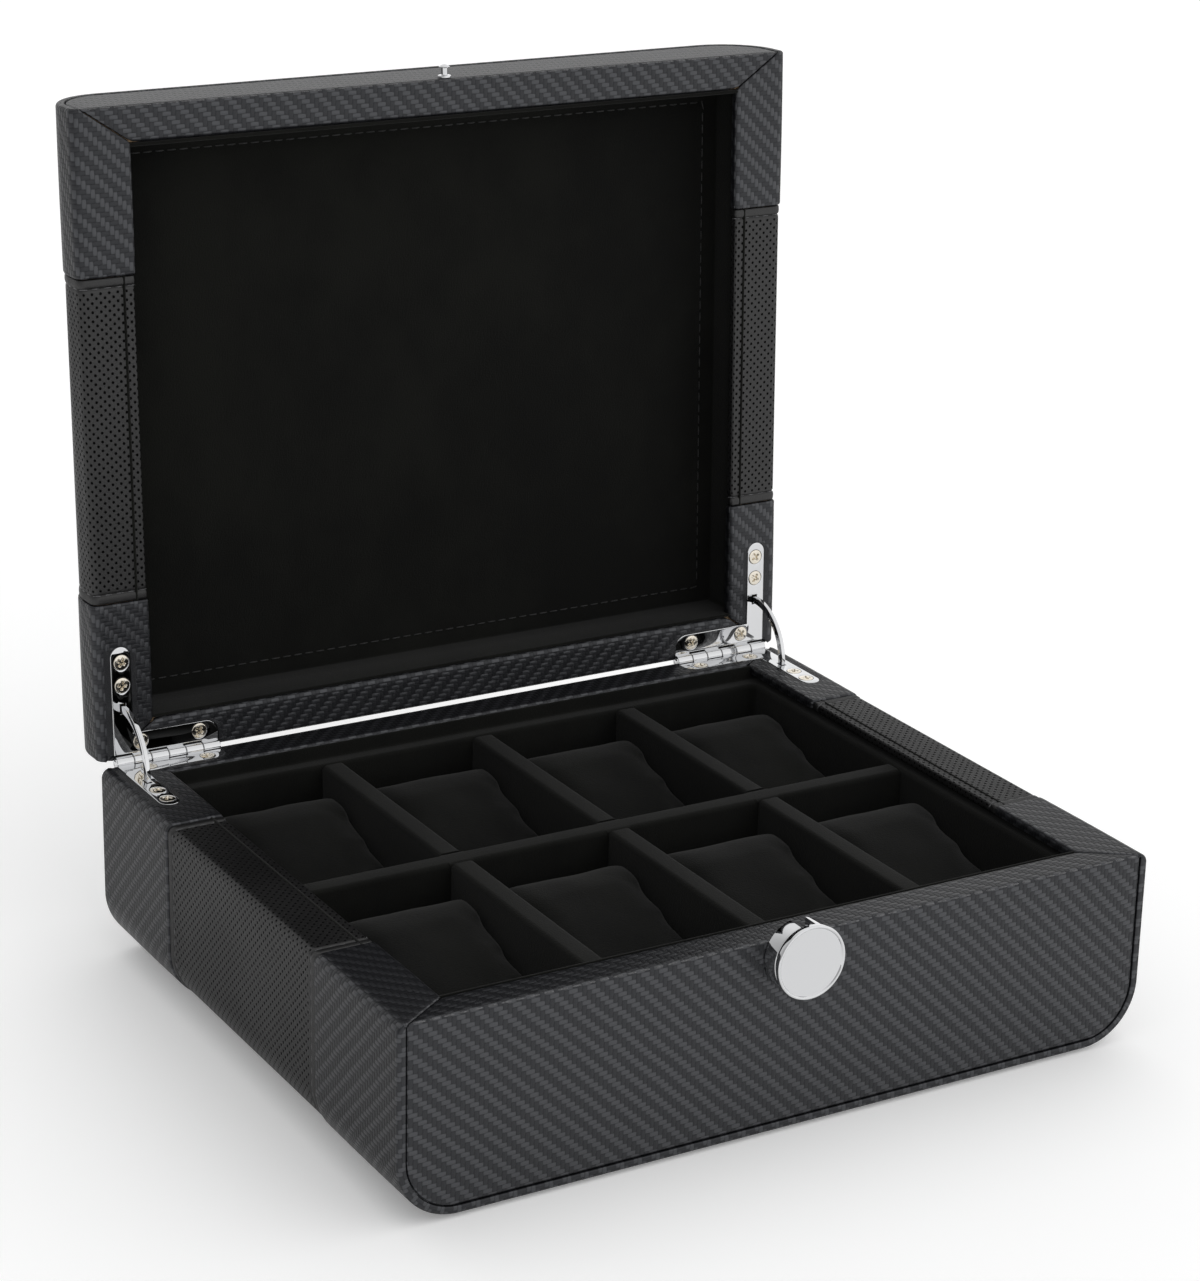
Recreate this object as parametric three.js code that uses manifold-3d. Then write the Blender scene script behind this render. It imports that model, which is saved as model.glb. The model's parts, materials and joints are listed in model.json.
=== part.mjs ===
// A leather-covered watch box: a base with eight padded compartments, a hinged lid with a lined
// recess, two quadrant stay hinges and a round push-button latch.
//
// Millimetres. X runs to the right, Y to the back and Z up. The origin is the middle of the
// underside. The lid stands open, as the box rests; its own frame is the closed box's.

import * as THREE from 'three';
import { mergeVertices } from 'three/addons/utils/BufferGeometryUtils.js';
import Module from 'manifold-3d';

const wasm = await Module();
wasm.setup();

// Whole box
const BOX_WIDTH = 290;
const BOX_DEPTH = 236;
const BASE_HEIGHT = 70;
const LID_HEIGHT = 31;
const CORNER_RADIUS = 22;
const RIM_EDGE_RADIUS = 3.5;
const RIM_GAP = 1;
const OPEN_ANGLE = THREE.MathUtils.degToRad(92);
const FIT_GAP = 0.3;

// Walls and coverings
const SIDE_WALL = 16.5;
const FRONT_WALL = 13;
const BACK_WALL = 13.5;
const BOARD_THICKNESS = 6.2;
const COVER_THICKNESS = 1.5;
const MIDDLE_BAND_STEP = 0.6;
const EDGE_BAND = 3;
const PANEL_SEAM = 0.4;
const FELT_THICKNESS = 1;
const FELT_MARGIN = 26;
const LINING_THICKNESS = 1.2;
const LINING_FLOOR = 1.5;

// Padded insert
const INSERT_WALL = 7.5;
const INSERT_DROP = 5.5;
const DIVIDER_THICKNESS = 9;
const DIVIDER_PITCH = 62.5;
const COLUMNS = 4;
const CUSHION_WIDTH = 50;
const CUSHION_LENGTH = 78;
const CUSHION_BACK_HEIGHT = 48;
const CUSHION_SLOPE = THREE.MathUtils.degToRad(15);
const CUSHION_CORNER = 6;
const CUSHION_BACK_SPACE = 11.5;

// Quadrant hinges
const LEAF_THICKNESS = 1.5;
const LEAF_PROUD = 0.2;
const LEAF_INNER_X = 98.2;
const LEAF_OUTER_X = 139;
const LEAF_SIDE_WIDTH = 7.6;
const LEAF_FRONT_Y = 75.2;
const LEAF_BACK_STRIP_Y = 108.4;
const LEAF_CORNER_RADIUS = 5;
const HINGE_BEHIND = 0.8;
const KNUCKLE_RADIUS = 2.4;
const KNUCKLE_COUNT = 6;
const KNUCKLE_CLEARANCE = 0.4;
const PIN_RADIUS = 1.2;
const PIN_CLEARANCE = 0.1;
const ARM_INNER_RADIUS = 18.8;
const ARM_OUTER_RADIUS = 21.6;
const ARM_THICKNESS = 1.6;
const ARM_OVERLAP = THREE.MathUtils.degToRad(20);
const ARM_HEAD_ANGLE = THREE.MathUtils.degToRad(8);
const ARM_HEAD_GROWTH = 0.8;
const ARM_CLEARANCE = 0.5;
const ARM_POCKET_PAST_STRIP = 3.2;

// Wood screws
const SCREW_HEAD_RADIUS = 2.8;
const SCREW_SHANK_RADIUS = 1.3;
const SCREW_HEAD_DEPTH = 1.4;
const SCREW_LENGTH = 9;
const SCREW_DOME = 0.12;
const SCREW_CROWN_RADIUS = 1.54;
const SCREW_CROSS_REACH = 1.74;
const SCREW_CROSS_HALF_WIDTH = 0.31;
const SCREW_CROSS_DEPTH = 0.7;
const SCREW_SIDES = 12;
const SCREW_SPOTS = {
  side_front: { x: 134.9, y: 81 },
  side_rear: { x: 134.9, y: 89.7 },
  back_inner: { x: 105.6, y: 112 },
  back_outer: { x: 128.6, y: 112 },
};

// Push-button latch on the base and its stud on the lid
const LATCH_Z = 65.1;
const CASE_RADIUS = 12.3;
const CASE_WALL = 1.7;
const CASE_DEPTH = 6.2;
const CASE_BACK = 1.5;
const STEM_RADIUS = 5;
const STEM_BORE = 3.6;
const STEM_LENGTH = 11.5;
const BUTTON_RADIUS = 13;
const BUTTON_THICKNESS = 2;
const BUTTON_DISH = 0.7;
const BUTTON_DISH_RADIUS = 6.5;
const BUTTON_DISH_SIDE = 0.6;
const BUTTON_RIM = 1.1;
const BUTTON_TRAVEL_GAP = 1.3;
const BUTTON_STALK_RADIUS = 1.5;
const BUTTON_STALK_LENGTH = 11.5;
const NOTCH_WIDTH = 5.8;
const NOTCH_DEPTH = 4.6;
const SPRING_WIRE = 0.3;
const SPRING_RADIUS = 2.7;
const SPRING_TURNS = 6;
const STUD_RIM_DISTANCE = 3.2;
const STUD_LENGTH = 4.6;
const STUD_SHANK_RADIUS = 1.2;
const STUD_HEAD_RADIUS = 2;
const STUD_HEAD_THICKNESS = 1.2;
const STUD_COLLAR_RADIUS = 2.4;
const STUD_COLLAR_THICKNESS = 0.7;
const STUD_ROOT = 8;
const CLIP_THICKNESS = 0.9;
const CLIP_NECK_GAP = 0.4;

// Facets
const ARC_STEPS = 6;
const ROUND_SIDES = 36;
const SMALL_ROUND_SIDES = 12;
const ARM_STEPS = 18;
const ARM_HEAD_STEPS = 2;
const SPRING_STEPS_PER_TURN = 10;
const MERGE_DISTANCE = 1e-4;

// How far a cutter runs past the face it cuts
const CUT_OVERSHOOT = 1;

// Values that follow from the driving ones
const HALF_WIDTH = BOX_WIDTH / 2;
const FRONT_Y = -BOX_DEPTH / 2;
const BACK_Y = BOX_DEPTH / 2;
const INNER_X = HALF_WIDTH - SIDE_WALL;
const INNER_FRONT_Y = FRONT_Y + FRONT_WALL;
const INNER_BACK_Y = BACK_Y - BACK_WALL;
const SEAM_Y = BOX_DEPTH / 4;
const RIM_Z = BASE_HEIGHT + FELT_THICKNESS + FIT_GAP;
const LID_RIM_Z = RIM_Z + RIM_GAP;
const WOOD_INSET = COVER_THICKNESS + FIT_GAP;
const HINGE_Y = BACK_Y + HINGE_BEHIND;
const HINGE_Z = RIM_Z + RIM_GAP / 2;
const FLOOR_Z = RIM_Z - BASE_HEIGHT + WOOD_INSET + BOARD_THICKNESS;
const INSERT_TOP_Z = RIM_Z - INSERT_DROP;
const INSERT_X = INNER_X - FIT_GAP - INSERT_WALL;
const INSERT_FRONT_Y = INNER_FRONT_Y + FIT_GAP + INSERT_WALL;
const INSERT_BACK_Y = INNER_BACK_Y - FIT_GAP - INSERT_WALL;
const MIDDLE_Y = (INSERT_FRONT_Y + INSERT_BACK_Y) / 2;
const ARM_X = SCREW_SPOTS.side_front.x;

// The base hangs down from its rim and the lid rises from its own, so both are drawn by depth.
const baseHalf = { height: BASE_HEIGHT, toZ: (depth) => RIM_Z - depth };
const lidHalf = { height: LID_HEIGHT, toZ: (depth) => LID_RIM_Z + depth };

const finishes = {
  carbonLeather: { color: 0x35363a, roughness: 0.45, metalness: 0 },
  perforatedLeather: { color: 0x2b2b2e, roughness: 0.6, metalness: 0 },
  suede: { color: 0x121412, roughness: 0.95, metalness: 0 },
  board: { color: 0x9c7f5c, roughness: 0.8, metalness: 0 },
  felt: { color: 0x17181a, roughness: 1, metalness: 0 },
  chrome: { color: 0xd8dade, roughness: 0.08, metalness: 1 },
  screwSteel: { color: 0xcfc4ae, roughness: 0.25, metalness: 1 },
  springSteel: { color: 0x9a9ca0, roughness: 0.35, metalness: 1 },
};

// ---- solids ----

function toSolid(geometry) {
  const bare = geometry.clone();
  bare.deleteAttribute('normal');
  bare.deleteAttribute('uv');
  const merged = mergeVertices(bare, MERGE_DISTANCE);
  return new wasm.Manifold(new wasm.Mesh({
    numProp: 3,
    vertProperties: new Float32Array(merged.attributes.position.array),
    triVerts: new Uint32Array(merged.index.array),
  }));
}

function toGeometry(solid) {
  const cut = solid.getMesh();
  const geometry = new THREE.BufferGeometry();
  geometry.setAttribute('position', new THREE.BufferAttribute(cut.vertProperties, cut.numProp));
  geometry.setIndex(new THREE.BufferAttribute(cut.triVerts, 1));
  return geometry;
}

function addPiece(group, name, solid, finish) {
  const material = new THREE.MeshStandardMaterial(finishes[finish]);
  const mesh = new THREE.Mesh(toGeometry(solid), material);
  mesh.name = name;
  group.add(mesh);
}

function block(x0, x1, y0, y1, z0, z1) {
  const geometry = new THREE.BoxGeometry(x1 - x0, y1 - y0, z1 - z0);
  geometry.translate((x0 + x1) / 2, (y0 + y1) / 2, (z0 + z1) / 2);
  return toSolid(geometry);
}

// A closed outline of [a, b] points, carried between two places along one axis.
// Along Y the points are [x, z], along X they are [y, z], and along Z they are [x, y].
function prism(points, axis, from, to) {
  const shape = new THREE.Shape(points.map(([a, b]) => new THREE.Vector2(a, b)));
  const geometry = new THREE.ExtrudeGeometry(shape, { depth: to - from, bevelEnabled: false });
  const turn = new THREE.Matrix4();
  if (axis === 'x') {
    turn.makeBasis(new THREE.Vector3(0, 1, 0), new THREE.Vector3(0, 0, 1), new THREE.Vector3(1, 0, 0));
    turn.setPosition(from, 0, 0);
  } else if (axis === 'y') {
    turn.makeBasis(new THREE.Vector3(1, 0, 0), new THREE.Vector3(0, 0, 1), new THREE.Vector3(0, -1, 0));
    turn.setPosition(0, to, 0);
  } else {
    turn.setPosition(0, 0, from);
  }
  return toSolid(geometry.applyMatrix4(turn));
}

// A turned solid standing on Z: [radius, height] points from the axis, lowest first, to the axis.
function turned(points, sides) {
  const profile = points.map(([radius, height]) => new THREE.Vector2(radius, height));
  return toSolid(new THREE.LatheGeometry(profile, sides).rotateX(Math.PI / 2));
}

function cylinderAlongX(radius, x0, x1, y, z, sides) {
  const geometry = new THREE.CylinderGeometry(radius, radius, x1 - x0, sides);
  geometry.rotateZ(Math.PI / 2).translate((x0 + x1) / 2, y, z);
  return toSolid(geometry);
}

function arcPoints(centreX, centreY, radius, fromAngle, toAngle, steps = ARC_STEPS) {
  return Array.from({ length: steps + 1 }, (_, step) => {
    const angle = fromAngle + ((toAngle - fromAngle) * step) / steps;
    return [centreX + radius * Math.cos(angle), centreY + radius * Math.sin(angle)];
  });
}

function mirrored(points) {
  return points.map(([x, y]) => [-x, y]).reverse();
}

function joined(solids) {
  return solids.reduce((whole, solid) => whole.add(solid));
}

function cutAll(solid, cutters) {
  return cutters.reduce((left, cutter) => left.subtract(cutter), solid);
}

// ---- box section ----

// Right-hand outer outline of one half, from its rim to its far face, set in by inset.
function outerEdge(half, inset) {
  const rim = arcPoints(HALF_WIDTH - RIM_EDGE_RADIUS, RIM_EDGE_RADIUS, RIM_EDGE_RADIUS - inset,
    -Math.PI / 2, 0);
  const corner = arcPoints(HALF_WIDTH - CORNER_RADIUS, half.height - CORNER_RADIUS,
    CORNER_RADIUS - inset, 0, Math.PI / 2);
  return [...rim, ...corner];
}

function drawn(half, points) {
  return points.map(([x, depth]) => [x, half.toZ(depth)]);
}

// The whole section of one half, as its front and back boards show it.
function fullSection(half, inset) {
  const right = outerEdge(half, inset);
  return drawn(half, [...right, ...mirrored(right)]);
}

// The leather that goes over one rim, round the outside and over the other rim.
function wrapSection(half, outerInset, innerInset) {
  const outer = [[INNER_X, outerInset], ...outerEdge(half, outerInset)];
  const inner = [[INNER_X, innerInset], ...outerEdge(half, innerInset)];
  const outside = [...outer, ...mirrored(outer)];
  const inside = [...inner, ...mirrored(inner)].reverse();
  return drawn(half, [...outside, ...inside]);
}

// The inset front or back panel: straight up to the rim, with the box's round corners.
function panelSection(half, inset, fromDepth) {
  const right = [
    [HALF_WIDTH - inset, fromDepth],
    ...arcPoints(HALF_WIDTH - CORNER_RADIUS, half.height - CORNER_RADIUS, CORNER_RADIUS - inset,
      0, Math.PI / 2),
  ];
  return drawn(half, [...right, ...mirrored(right)]);
}

function spanZ(half, depthFrom, depthTo) {
  const ends = [half.toZ(depthFrom), half.toZ(depthTo)];
  return [Math.min(...ends), Math.max(...ends)];
}

// The mitred strip of rim that belongs to the front (side -1) or back (side 1) panel.
function rimStrip(half, side, growth) {
  const outerY = side < 0 ? FRONT_Y : BACK_Y;
  const innerY = side < 0 ? INNER_FRONT_Y : INNER_BACK_Y;
  const outerX = HALF_WIDTH - EDGE_BAND - PANEL_SEAM + growth;
  const innerX = INNER_X - PANEL_SEAM + growth;
  const points = [[outerX, outerY], [innerX, innerY], [-innerX, innerY], [-outerX, outerY]];
  const [low, high] = spanZ(half, 0, COVER_THICKNESS);
  return { points, low, high };
}

// ---- leather covers ----

function endWrap(half, side) {
  const outerY = side < 0 ? FRONT_Y : BACK_Y;
  const [y0, y1] = [outerY, side * (SEAM_Y + FIT_GAP / 2)].sort((a, b) => a - b);
  const sleeve = prism(wrapSection(half, 0, COVER_THICKNESS), 'y', y0, y1);
  const [lip0, lip1] = [outerY, outerY - side * COVER_THICKNESS].sort((a, b) => a - b);
  const lip = prism(fullSection(half, 0), 'y', lip0, lip1)
    .subtract(prism(panelSection(half, EDGE_BAND, -CUT_OVERSHOOT), 'y', lip0 - CUT_OVERSHOOT,
      lip1 + CUT_OVERSHOOT));
  const strip = rimStrip(half, side, PANEL_SEAM);
  const mitre = prism(strip.points, 'z', strip.low - CUT_OVERSHOOT, strip.high + CUT_OVERSHOOT);
  return sleeve.add(lip).subtract(mitre);
}

function middleWrap(half) {
  const y = SEAM_Y - FIT_GAP / 2;
  return prism(wrapSection(half, MIDDLE_BAND_STEP, COVER_THICKNESS), 'y', -y, y);
}

function facePanel(half, side) {
  const outerY = side < 0 ? FRONT_Y : BACK_Y;
  const [y0, y1] = [outerY, outerY - side * COVER_THICKNESS].sort((a, b) => a - b);
  const face = prism(panelSection(half, EDGE_BAND + PANEL_SEAM, COVER_THICKNESS), 'y', y0, y1);
  const strip = rimStrip(half, side, 0);
  return face.add(prism(strip.points, 'z', strip.low, strip.high));
}

// ---- boards ----

function sideBoard(half, sign) {
  const floorX = HALF_WIDTH - CORNER_RADIUS;
  const floorDepth = half.height - WOOD_INSET - BOARD_THICKNESS + FIT_GAP;
  const points = [
    [INNER_X, WOOD_INSET],
    ...outerEdge(half, WOOD_INSET),
    [floorX, floorDepth],
    [INNER_X, floorDepth],
  ];
  const placed = drawn(half, points).map(([x, z]) => [sign * x, z]);
  return prism(placed, 'y', INNER_FRONT_Y + FIT_GAP, INNER_BACK_Y - FIT_GAP);
}

function bottomBoard() {
  const x = HALF_WIDTH - CORNER_RADIUS - FIT_GAP;
  const bottom = RIM_Z - BASE_HEIGHT + WOOD_INSET;
  return block(-x, x, INNER_FRONT_Y + FIT_GAP, INNER_BACK_Y - FIT_GAP, bottom, FLOOR_Z - FIT_GAP);
}

function endBoard(half, side) {
  const [y0, y1] = side < 0
    ? [FRONT_Y + WOOD_INSET, INNER_FRONT_Y]
    : [INNER_BACK_Y, BACK_Y - WOOD_INSET];
  return prism(fullSection(half, WOOD_INSET), 'y', y0, y1);
}

function lidCarcass() {
  const whole = prism(fullSection(lidHalf, WOOD_INSET), 'y', FRONT_Y + WOOD_INSET, BACK_Y - WOOD_INSET);
  const [low, high] = spanZ(lidHalf, -CUT_OVERSHOOT, LID_HEIGHT - WOOD_INSET - BOARD_THICKNESS);
  return whole.subtract(block(-INNER_X, INNER_X, INNER_FRONT_Y, INNER_BACK_Y, low, high));
}

function undersideFelt() {
  const x = HALF_WIDTH - FELT_MARGIN;
  const y = BACK_Y - FELT_MARGIN / 2;
  return block(-x, x, -y, y, 0, FELT_THICKNESS);
}

// ---- linings, dividers and cushions ----

function baseLining() {
  const x = INNER_X - FIT_GAP;
  const y0 = INNER_FRONT_Y + FIT_GAP;
  const y1 = INNER_BACK_Y - FIT_GAP;
  const top = RIM_Z - FIT_GAP;
  const t = LINING_THICKNESS;
  const upper = block(-x + t, x - t, y0 + t, y1 - t, INSERT_TOP_Z,
    top + CUT_OVERSHOOT);
  const lower = block(-INSERT_X, INSERT_X, INSERT_FRONT_Y, INSERT_BACK_Y,
    FLOOR_Z + LINING_FLOOR, top);
  return block(-x, x, y0, y1, FLOOR_Z, top).subtract(upper).subtract(lower);
}

function lidLining() {
  const x = INNER_X - FIT_GAP;
  const y0 = INNER_FRONT_Y + FIT_GAP;
  const y1 = INNER_BACK_Y - FIT_GAP;
  const t = LINING_THICKNESS;
  const rim = LID_RIM_Z + FIT_GAP;
  const ceiling = lidHalf.toZ(LID_HEIGHT - WOOD_INSET - BOARD_THICKNESS - FIT_GAP);
  const recess = block(-x + t, x - t, y0 + t, y1 - t, rim - CUT_OVERSHOOT,
    ceiling - LINING_FLOOR);
  return block(-x, x, y0, y1, rim, ceiling).subtract(recess);
}

function dividerLevels() {
  const low = FLOOR_Z + LINING_FLOOR + FIT_GAP;
  return { low, high: INSERT_TOP_Z, half: (low + INSERT_TOP_Z) / 2 };
}

function longDivider(x) {
  const { low, high, half } = dividerLevels();
  const t = DIVIDER_THICKNESS / 2;
  const slot = t + FIT_GAP;
  return block(x - t, x + t, INSERT_FRONT_Y + FIT_GAP, INSERT_BACK_Y - FIT_GAP, low, high)
    .subtract(block(x - t - CUT_OVERSHOOT, x + t + CUT_OVERSHOOT, MIDDLE_Y - slot, MIDDLE_Y + slot,
      half, high + CUT_OVERSHOOT));
}

function crossDivider(positions) {
  const { low, high, half } = dividerLevels();
  const t = DIVIDER_THICKNESS / 2;
  const slot = t + FIT_GAP;
  const board = block(-INSERT_X + FIT_GAP, INSERT_X - FIT_GAP, MIDDLE_Y - t, MIDDLE_Y + t, low, high);
  const reach = t + CUT_OVERSHOOT;
  const slots = positions.map((x) => block(x - slot, x + slot, MIDDLE_Y - reach, MIDDLE_Y + reach,
    low - CUT_OVERSHOOT, half + FIT_GAP));
  return cutAll(board, slots);
}

// Corners of a closed outline rounded with arcs of one radius.
function roundedOutline(corners, radius) {
  return corners.flatMap((corner, index) => {
    const at = new THREE.Vector2(...corner);
    const before = new THREE.Vector2(...corners.at(index - 1)).sub(at).normalize();
    const after = new THREE.Vector2(...corners[(index + 1) % corners.length]).sub(at).normalize();
    const halfAngle = Math.acos(before.dot(after)) / 2;
    const reach = radius / Math.tan(halfAngle);
    const start = at.clone().addScaledVector(before, reach);
    const end = at.clone().addScaledVector(after, reach);
    const middle = before.clone().add(after).normalize();
    const centre = at.clone().addScaledVector(middle, radius / Math.sin(halfAngle));
    const crown = centre.clone().addScaledVector(middle, -radius);
    return [start, crown, end].map((point) => [point.x, point.y]);
  });
}

function cushion(x, backY) {
  const low = FLOOR_Z + LINING_FLOOR + FIT_GAP;
  const high = low + CUSHION_BACK_HEIGHT;
  const frontY = backY - CUSHION_LENGTH;
  const frontHigh = high - CUSHION_LENGTH * Math.tan(CUSHION_SLOPE);
  const corners = [[frontY, low], [backY, low], [backY, high], [frontY, frontHigh]];
  const half = CUSHION_WIDTH / 2;
  return prism(roundedOutline(corners, CUSHION_CORNER), 'x', x - half, x + half);
}

// ---- hinges; drawn for the right side and mirrored by sign ----

function leafOutline(growth) {
  const sideX = LEAF_OUTER_X - LEAF_SIDE_WIDTH;
  const tipRadius = LEAF_SIDE_WIDTH / 2 + growth;
  const tip = arcPoints((sideX + LEAF_OUTER_X) / 2, LEAF_FRONT_Y + LEAF_SIDE_WIDTH / 2, tipRadius,
    0, -Math.PI);
  const shoulder = arcPoints(LEAF_INNER_X + LEAF_CORNER_RADIUS, LEAF_BACK_STRIP_Y + LEAF_CORNER_RADIUS,
    LEAF_CORNER_RADIUS + growth, -Math.PI / 2, -Math.PI);
  return [
    [LEAF_OUTER_X + growth, HINGE_Y],
    ...tip,
    [sideX - growth, LEAF_BACK_STRIP_Y - growth],
    ...shoulder,
    [LEAF_INNER_X - growth, HINGE_Y],
  ];
}

function withSign(points, sign) {
  return points.map(([x, y]) => [sign * x, y]);
}

function ordered(a, b) {
  return a < b ? [a, b] : [b, a];
}

function screwCutters(half, sign, headGap) {
  return Object.values(SCREW_SPOTS).map(({ x, y }) => {
    const face = half.toZ(-LEAF_PROUD);
    const inward = half.toZ(1) - half.toZ(0);
    const cut = turned([
      [0, -CUT_OVERSHOOT],
      [SCREW_HEAD_RADIUS + headGap, -CUT_OVERSHOOT],
      [SCREW_HEAD_RADIUS + headGap, headGap / 2],
      [SCREW_SHANK_RADIUS + headGap, SCREW_HEAD_DEPTH + headGap],
      [SCREW_SHANK_RADIUS + headGap, SCREW_LENGTH + CUT_OVERSHOOT],
      [0, SCREW_LENGTH + CUT_OVERSHOOT],
    ], SCREW_SIDES);
    return facing(cut, inward, sign * x, y, face);
  });
}

// A turned solid whose height runs into the wood: down in the base, up in the lid.
function facing(solid, inward, x, y, z) {
  const turn = inward < 0 ? solid.rotate([180, 0, 0]) : solid;
  return turn.translate([x, y, z]);
}

// Everything that one hinge needs cut out of the boards and covers of one half.
function hingeCutters(half, sign) {
  const [leafLow, leafHigh] = spanZ(half, LEAF_THICKNESS - LEAF_PROUD + FIT_GAP, -RIM_GAP);
  const mortise = prism(withSign(leafOutline(FIT_GAP), sign), 'z', leafLow, leafHigh);
  const [x0, x1] = ordered(sign * (LEAF_INNER_X - FIT_GAP), sign * (LEAF_OUTER_X + FIT_GAP));
  const barrel = cylinderAlongX(KNUCKLE_RADIUS + KNUCKLE_CLEARANCE, x0, x1, HINGE_Y, HINGE_Z,
    SMALL_ROUND_SIDES);
  const reach = ARM_OUTER_RADIUS + ARM_HEAD_GROWTH + ARM_CLEARANCE;
  const [pocketX0, pocketX1] = ordered(
    sign * (ARM_X - ARM_THICKNESS / 2 - ARM_CLEARANCE),
    sign * (ARM_X + ARM_THICKNESS / 2 + ARM_CLEARANCE),
  );
  const [pocketLow, pocketHigh] = spanZ(half, reach, -RIM_GAP);
  const pocket = block(pocketX0, pocketX1, HINGE_Y - reach, LEAF_BACK_STRIP_Y + ARM_POCKET_PAST_STRIP,
    pocketLow, pocketHigh);
  return [mortise, barrel, pocket, ...screwCutters(half, sign, FIT_GAP)];
}

function knuckleSpans(parity) {
  const length = (LEAF_OUTER_X - LEAF_INNER_X) / KNUCKLE_COUNT;
  const indexes = [...Array(KNUCKLE_COUNT).keys()];
  return indexes.filter((index) => index % 2 === parity).map((index) => [
    LEAF_INNER_X + index * length + FIT_GAP / 2,
    LEAF_INNER_X + (index + 1) * length - FIT_GAP / 2,
  ]);
}

function hingeLeaf(half, sign, parity) {
  const [low, high] = spanZ(half, LEAF_THICKNESS - LEAF_PROUD, -LEAF_PROUD);
  const plate = prism(withSign(leafOutline(0), sign), 'z', low, high);
  const knuckles = knuckleSpans(parity).map(([from, to]) => {
    const [x0, x1] = ordered(sign * from, sign * to);
    return cylinderAlongX(KNUCKLE_RADIUS, x0, x1, HINGE_Y, HINGE_Z, SMALL_ROUND_SIDES);
  });
  const reliefY = HINGE_Y - KNUCKLE_RADIUS - KNUCKLE_CLEARANCE;
  const reliefs = knuckleSpans(1 - parity).map(([from, to]) => {
    const [x0, x1] = ordered(sign * (from - FIT_GAP), sign * (to + FIT_GAP));
    return block(x0, x1, reliefY, HINGE_Y + CUT_OVERSHOOT, low - CUT_OVERSHOOT, high + CUT_OVERSHOOT);
  });
  const [boreX0, boreX1] = ordered(
    sign * (LEAF_INNER_X - CUT_OVERSHOOT),
    sign * (LEAF_OUTER_X + CUT_OVERSHOOT),
  );
  const bore = cylinderAlongX(PIN_RADIUS + PIN_CLEARANCE, boreX0, boreX1, HINGE_Y, HINGE_Z,
    SMALL_ROUND_SIDES);
  const [slotX0, slotX1] = ordered(
    sign * (ARM_X - ARM_THICKNESS / 2 - FIT_GAP),
    sign * (ARM_X + ARM_THICKNESS / 2 + FIT_GAP),
  );
  const slot = block(slotX0, slotX1, HINGE_Y - ARM_OUTER_RADIUS - ARM_CLEARANCE,
    HINGE_Y - ARM_INNER_RADIUS + ARM_CLEARANCE, low - CUT_OVERSHOOT, high + CUT_OVERSHOOT);
  const holes = screwCutters(half, sign, FIT_GAP / 2);
  return cutAll(joined([cutAll(plate, reliefs), ...knuckles]), [bore, slot, ...holes]);
}

function hingePin(sign) {
  const [x0, x1] = ordered(sign * LEAF_INNER_X, sign * LEAF_OUTER_X);
  return cylinderAlongX(PIN_RADIUS, x0, x1, HINGE_Y, HINGE_Z, SMALL_ROUND_SIDES);
}

// The curved stay is centred on the hinge pin. Angles are measured up from the base's rim, and
// a wider head on each end stops it from leaving its slot.
function stayArm(sign) {
  const start = -ARM_OVERLAP;
  const end = OPEN_ANGLE + ARM_OVERLAP;
  const band = (from, to, growth, steps) => {
    const outer = arcPoints(0, 0, ARM_OUTER_RADIUS + growth, from, to, steps);
    const inner = arcPoints(0, 0, ARM_INNER_RADIUS - growth, to, from, steps);
    return [...outer, ...inner].map(([along, up]) => [HINGE_Y - along, HINGE_Z + up]);
  };
  const [x0, x1] = ordered(sign * (ARM_X - ARM_THICKNESS / 2), sign * (ARM_X + ARM_THICKNESS / 2));
  return joined([
    prism(band(start, end, 0, ARM_STEPS), 'x', x0, x1),
    prism(band(start, start + ARM_HEAD_ANGLE, ARM_HEAD_GROWTH, ARM_HEAD_STEPS), 'x', x0, x1),
    prism(band(end - ARM_HEAD_ANGLE, end, ARM_HEAD_GROWTH, ARM_HEAD_STEPS), 'x', x0, x1),
  ]);
}

function woodScrew(half, sign, { x, y }) {
  const body = turned([
    [0, -SCREW_DOME],
    [SCREW_CROWN_RADIUS, -SCREW_DOME],
    [SCREW_HEAD_RADIUS, 0],
    [SCREW_SHANK_RADIUS, SCREW_HEAD_DEPTH],
    [SCREW_SHANK_RADIUS, SCREW_LENGTH - SCREW_SHANK_RADIUS],
    [0, SCREW_LENGTH],
  ], SCREW_SIDES);
  const reach = SCREW_CROSS_REACH;
  const width = SCREW_CROSS_HALF_WIDTH;
  const recess = block(-reach, reach, -width, width, -CUT_OVERSHOOT, SCREW_CROSS_DEPTH)
    .add(block(-width, width, -reach, reach, -CUT_OVERSHOOT, SCREW_CROSS_DEPTH));
  const inward = half.toZ(1) - half.toZ(0);
  return facing(body.subtract(recess), inward, sign * x, y, half.toZ(-LEAF_PROUD));
}

// ---- latch; its pieces are turned about an axis that points out of the front ----

function outOfFront(points, sides, x, y, z) {
  return turned(points, sides).rotate([90, 0, 0]).translate([x, y, z]);
}

function latchCase() {
  const back = FRONT_Y - FIT_GAP;
  const cup = outOfFront([
    [0, -STEM_LENGTH],
    [STEM_RADIUS, -STEM_LENGTH],
    [STEM_RADIUS, 0],
    [CASE_RADIUS, 0],
    [CASE_RADIUS, CASE_DEPTH],
    [CASE_RADIUS - CASE_WALL, CASE_DEPTH],
    [CASE_RADIUS - CASE_WALL, CASE_BACK],
    [STEM_BORE, CASE_BACK],
    [STEM_BORE, CASE_BACK - STEM_LENGTH],
    [0, CASE_BACK - STEM_LENGTH],
  ], ROUND_SIDES, 0, back, LATCH_Z);
  const half = NOTCH_WIDTH / 2;
  const top = LATCH_Z + CASE_RADIUS;
  const notch = block(-half, half, back - CASE_DEPTH - CUT_OVERSHOOT, back + CUT_OVERSHOOT,
    top - NOTCH_DEPTH, top + CUT_OVERSHOOT);
  return cup.subtract(notch);
}

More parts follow.
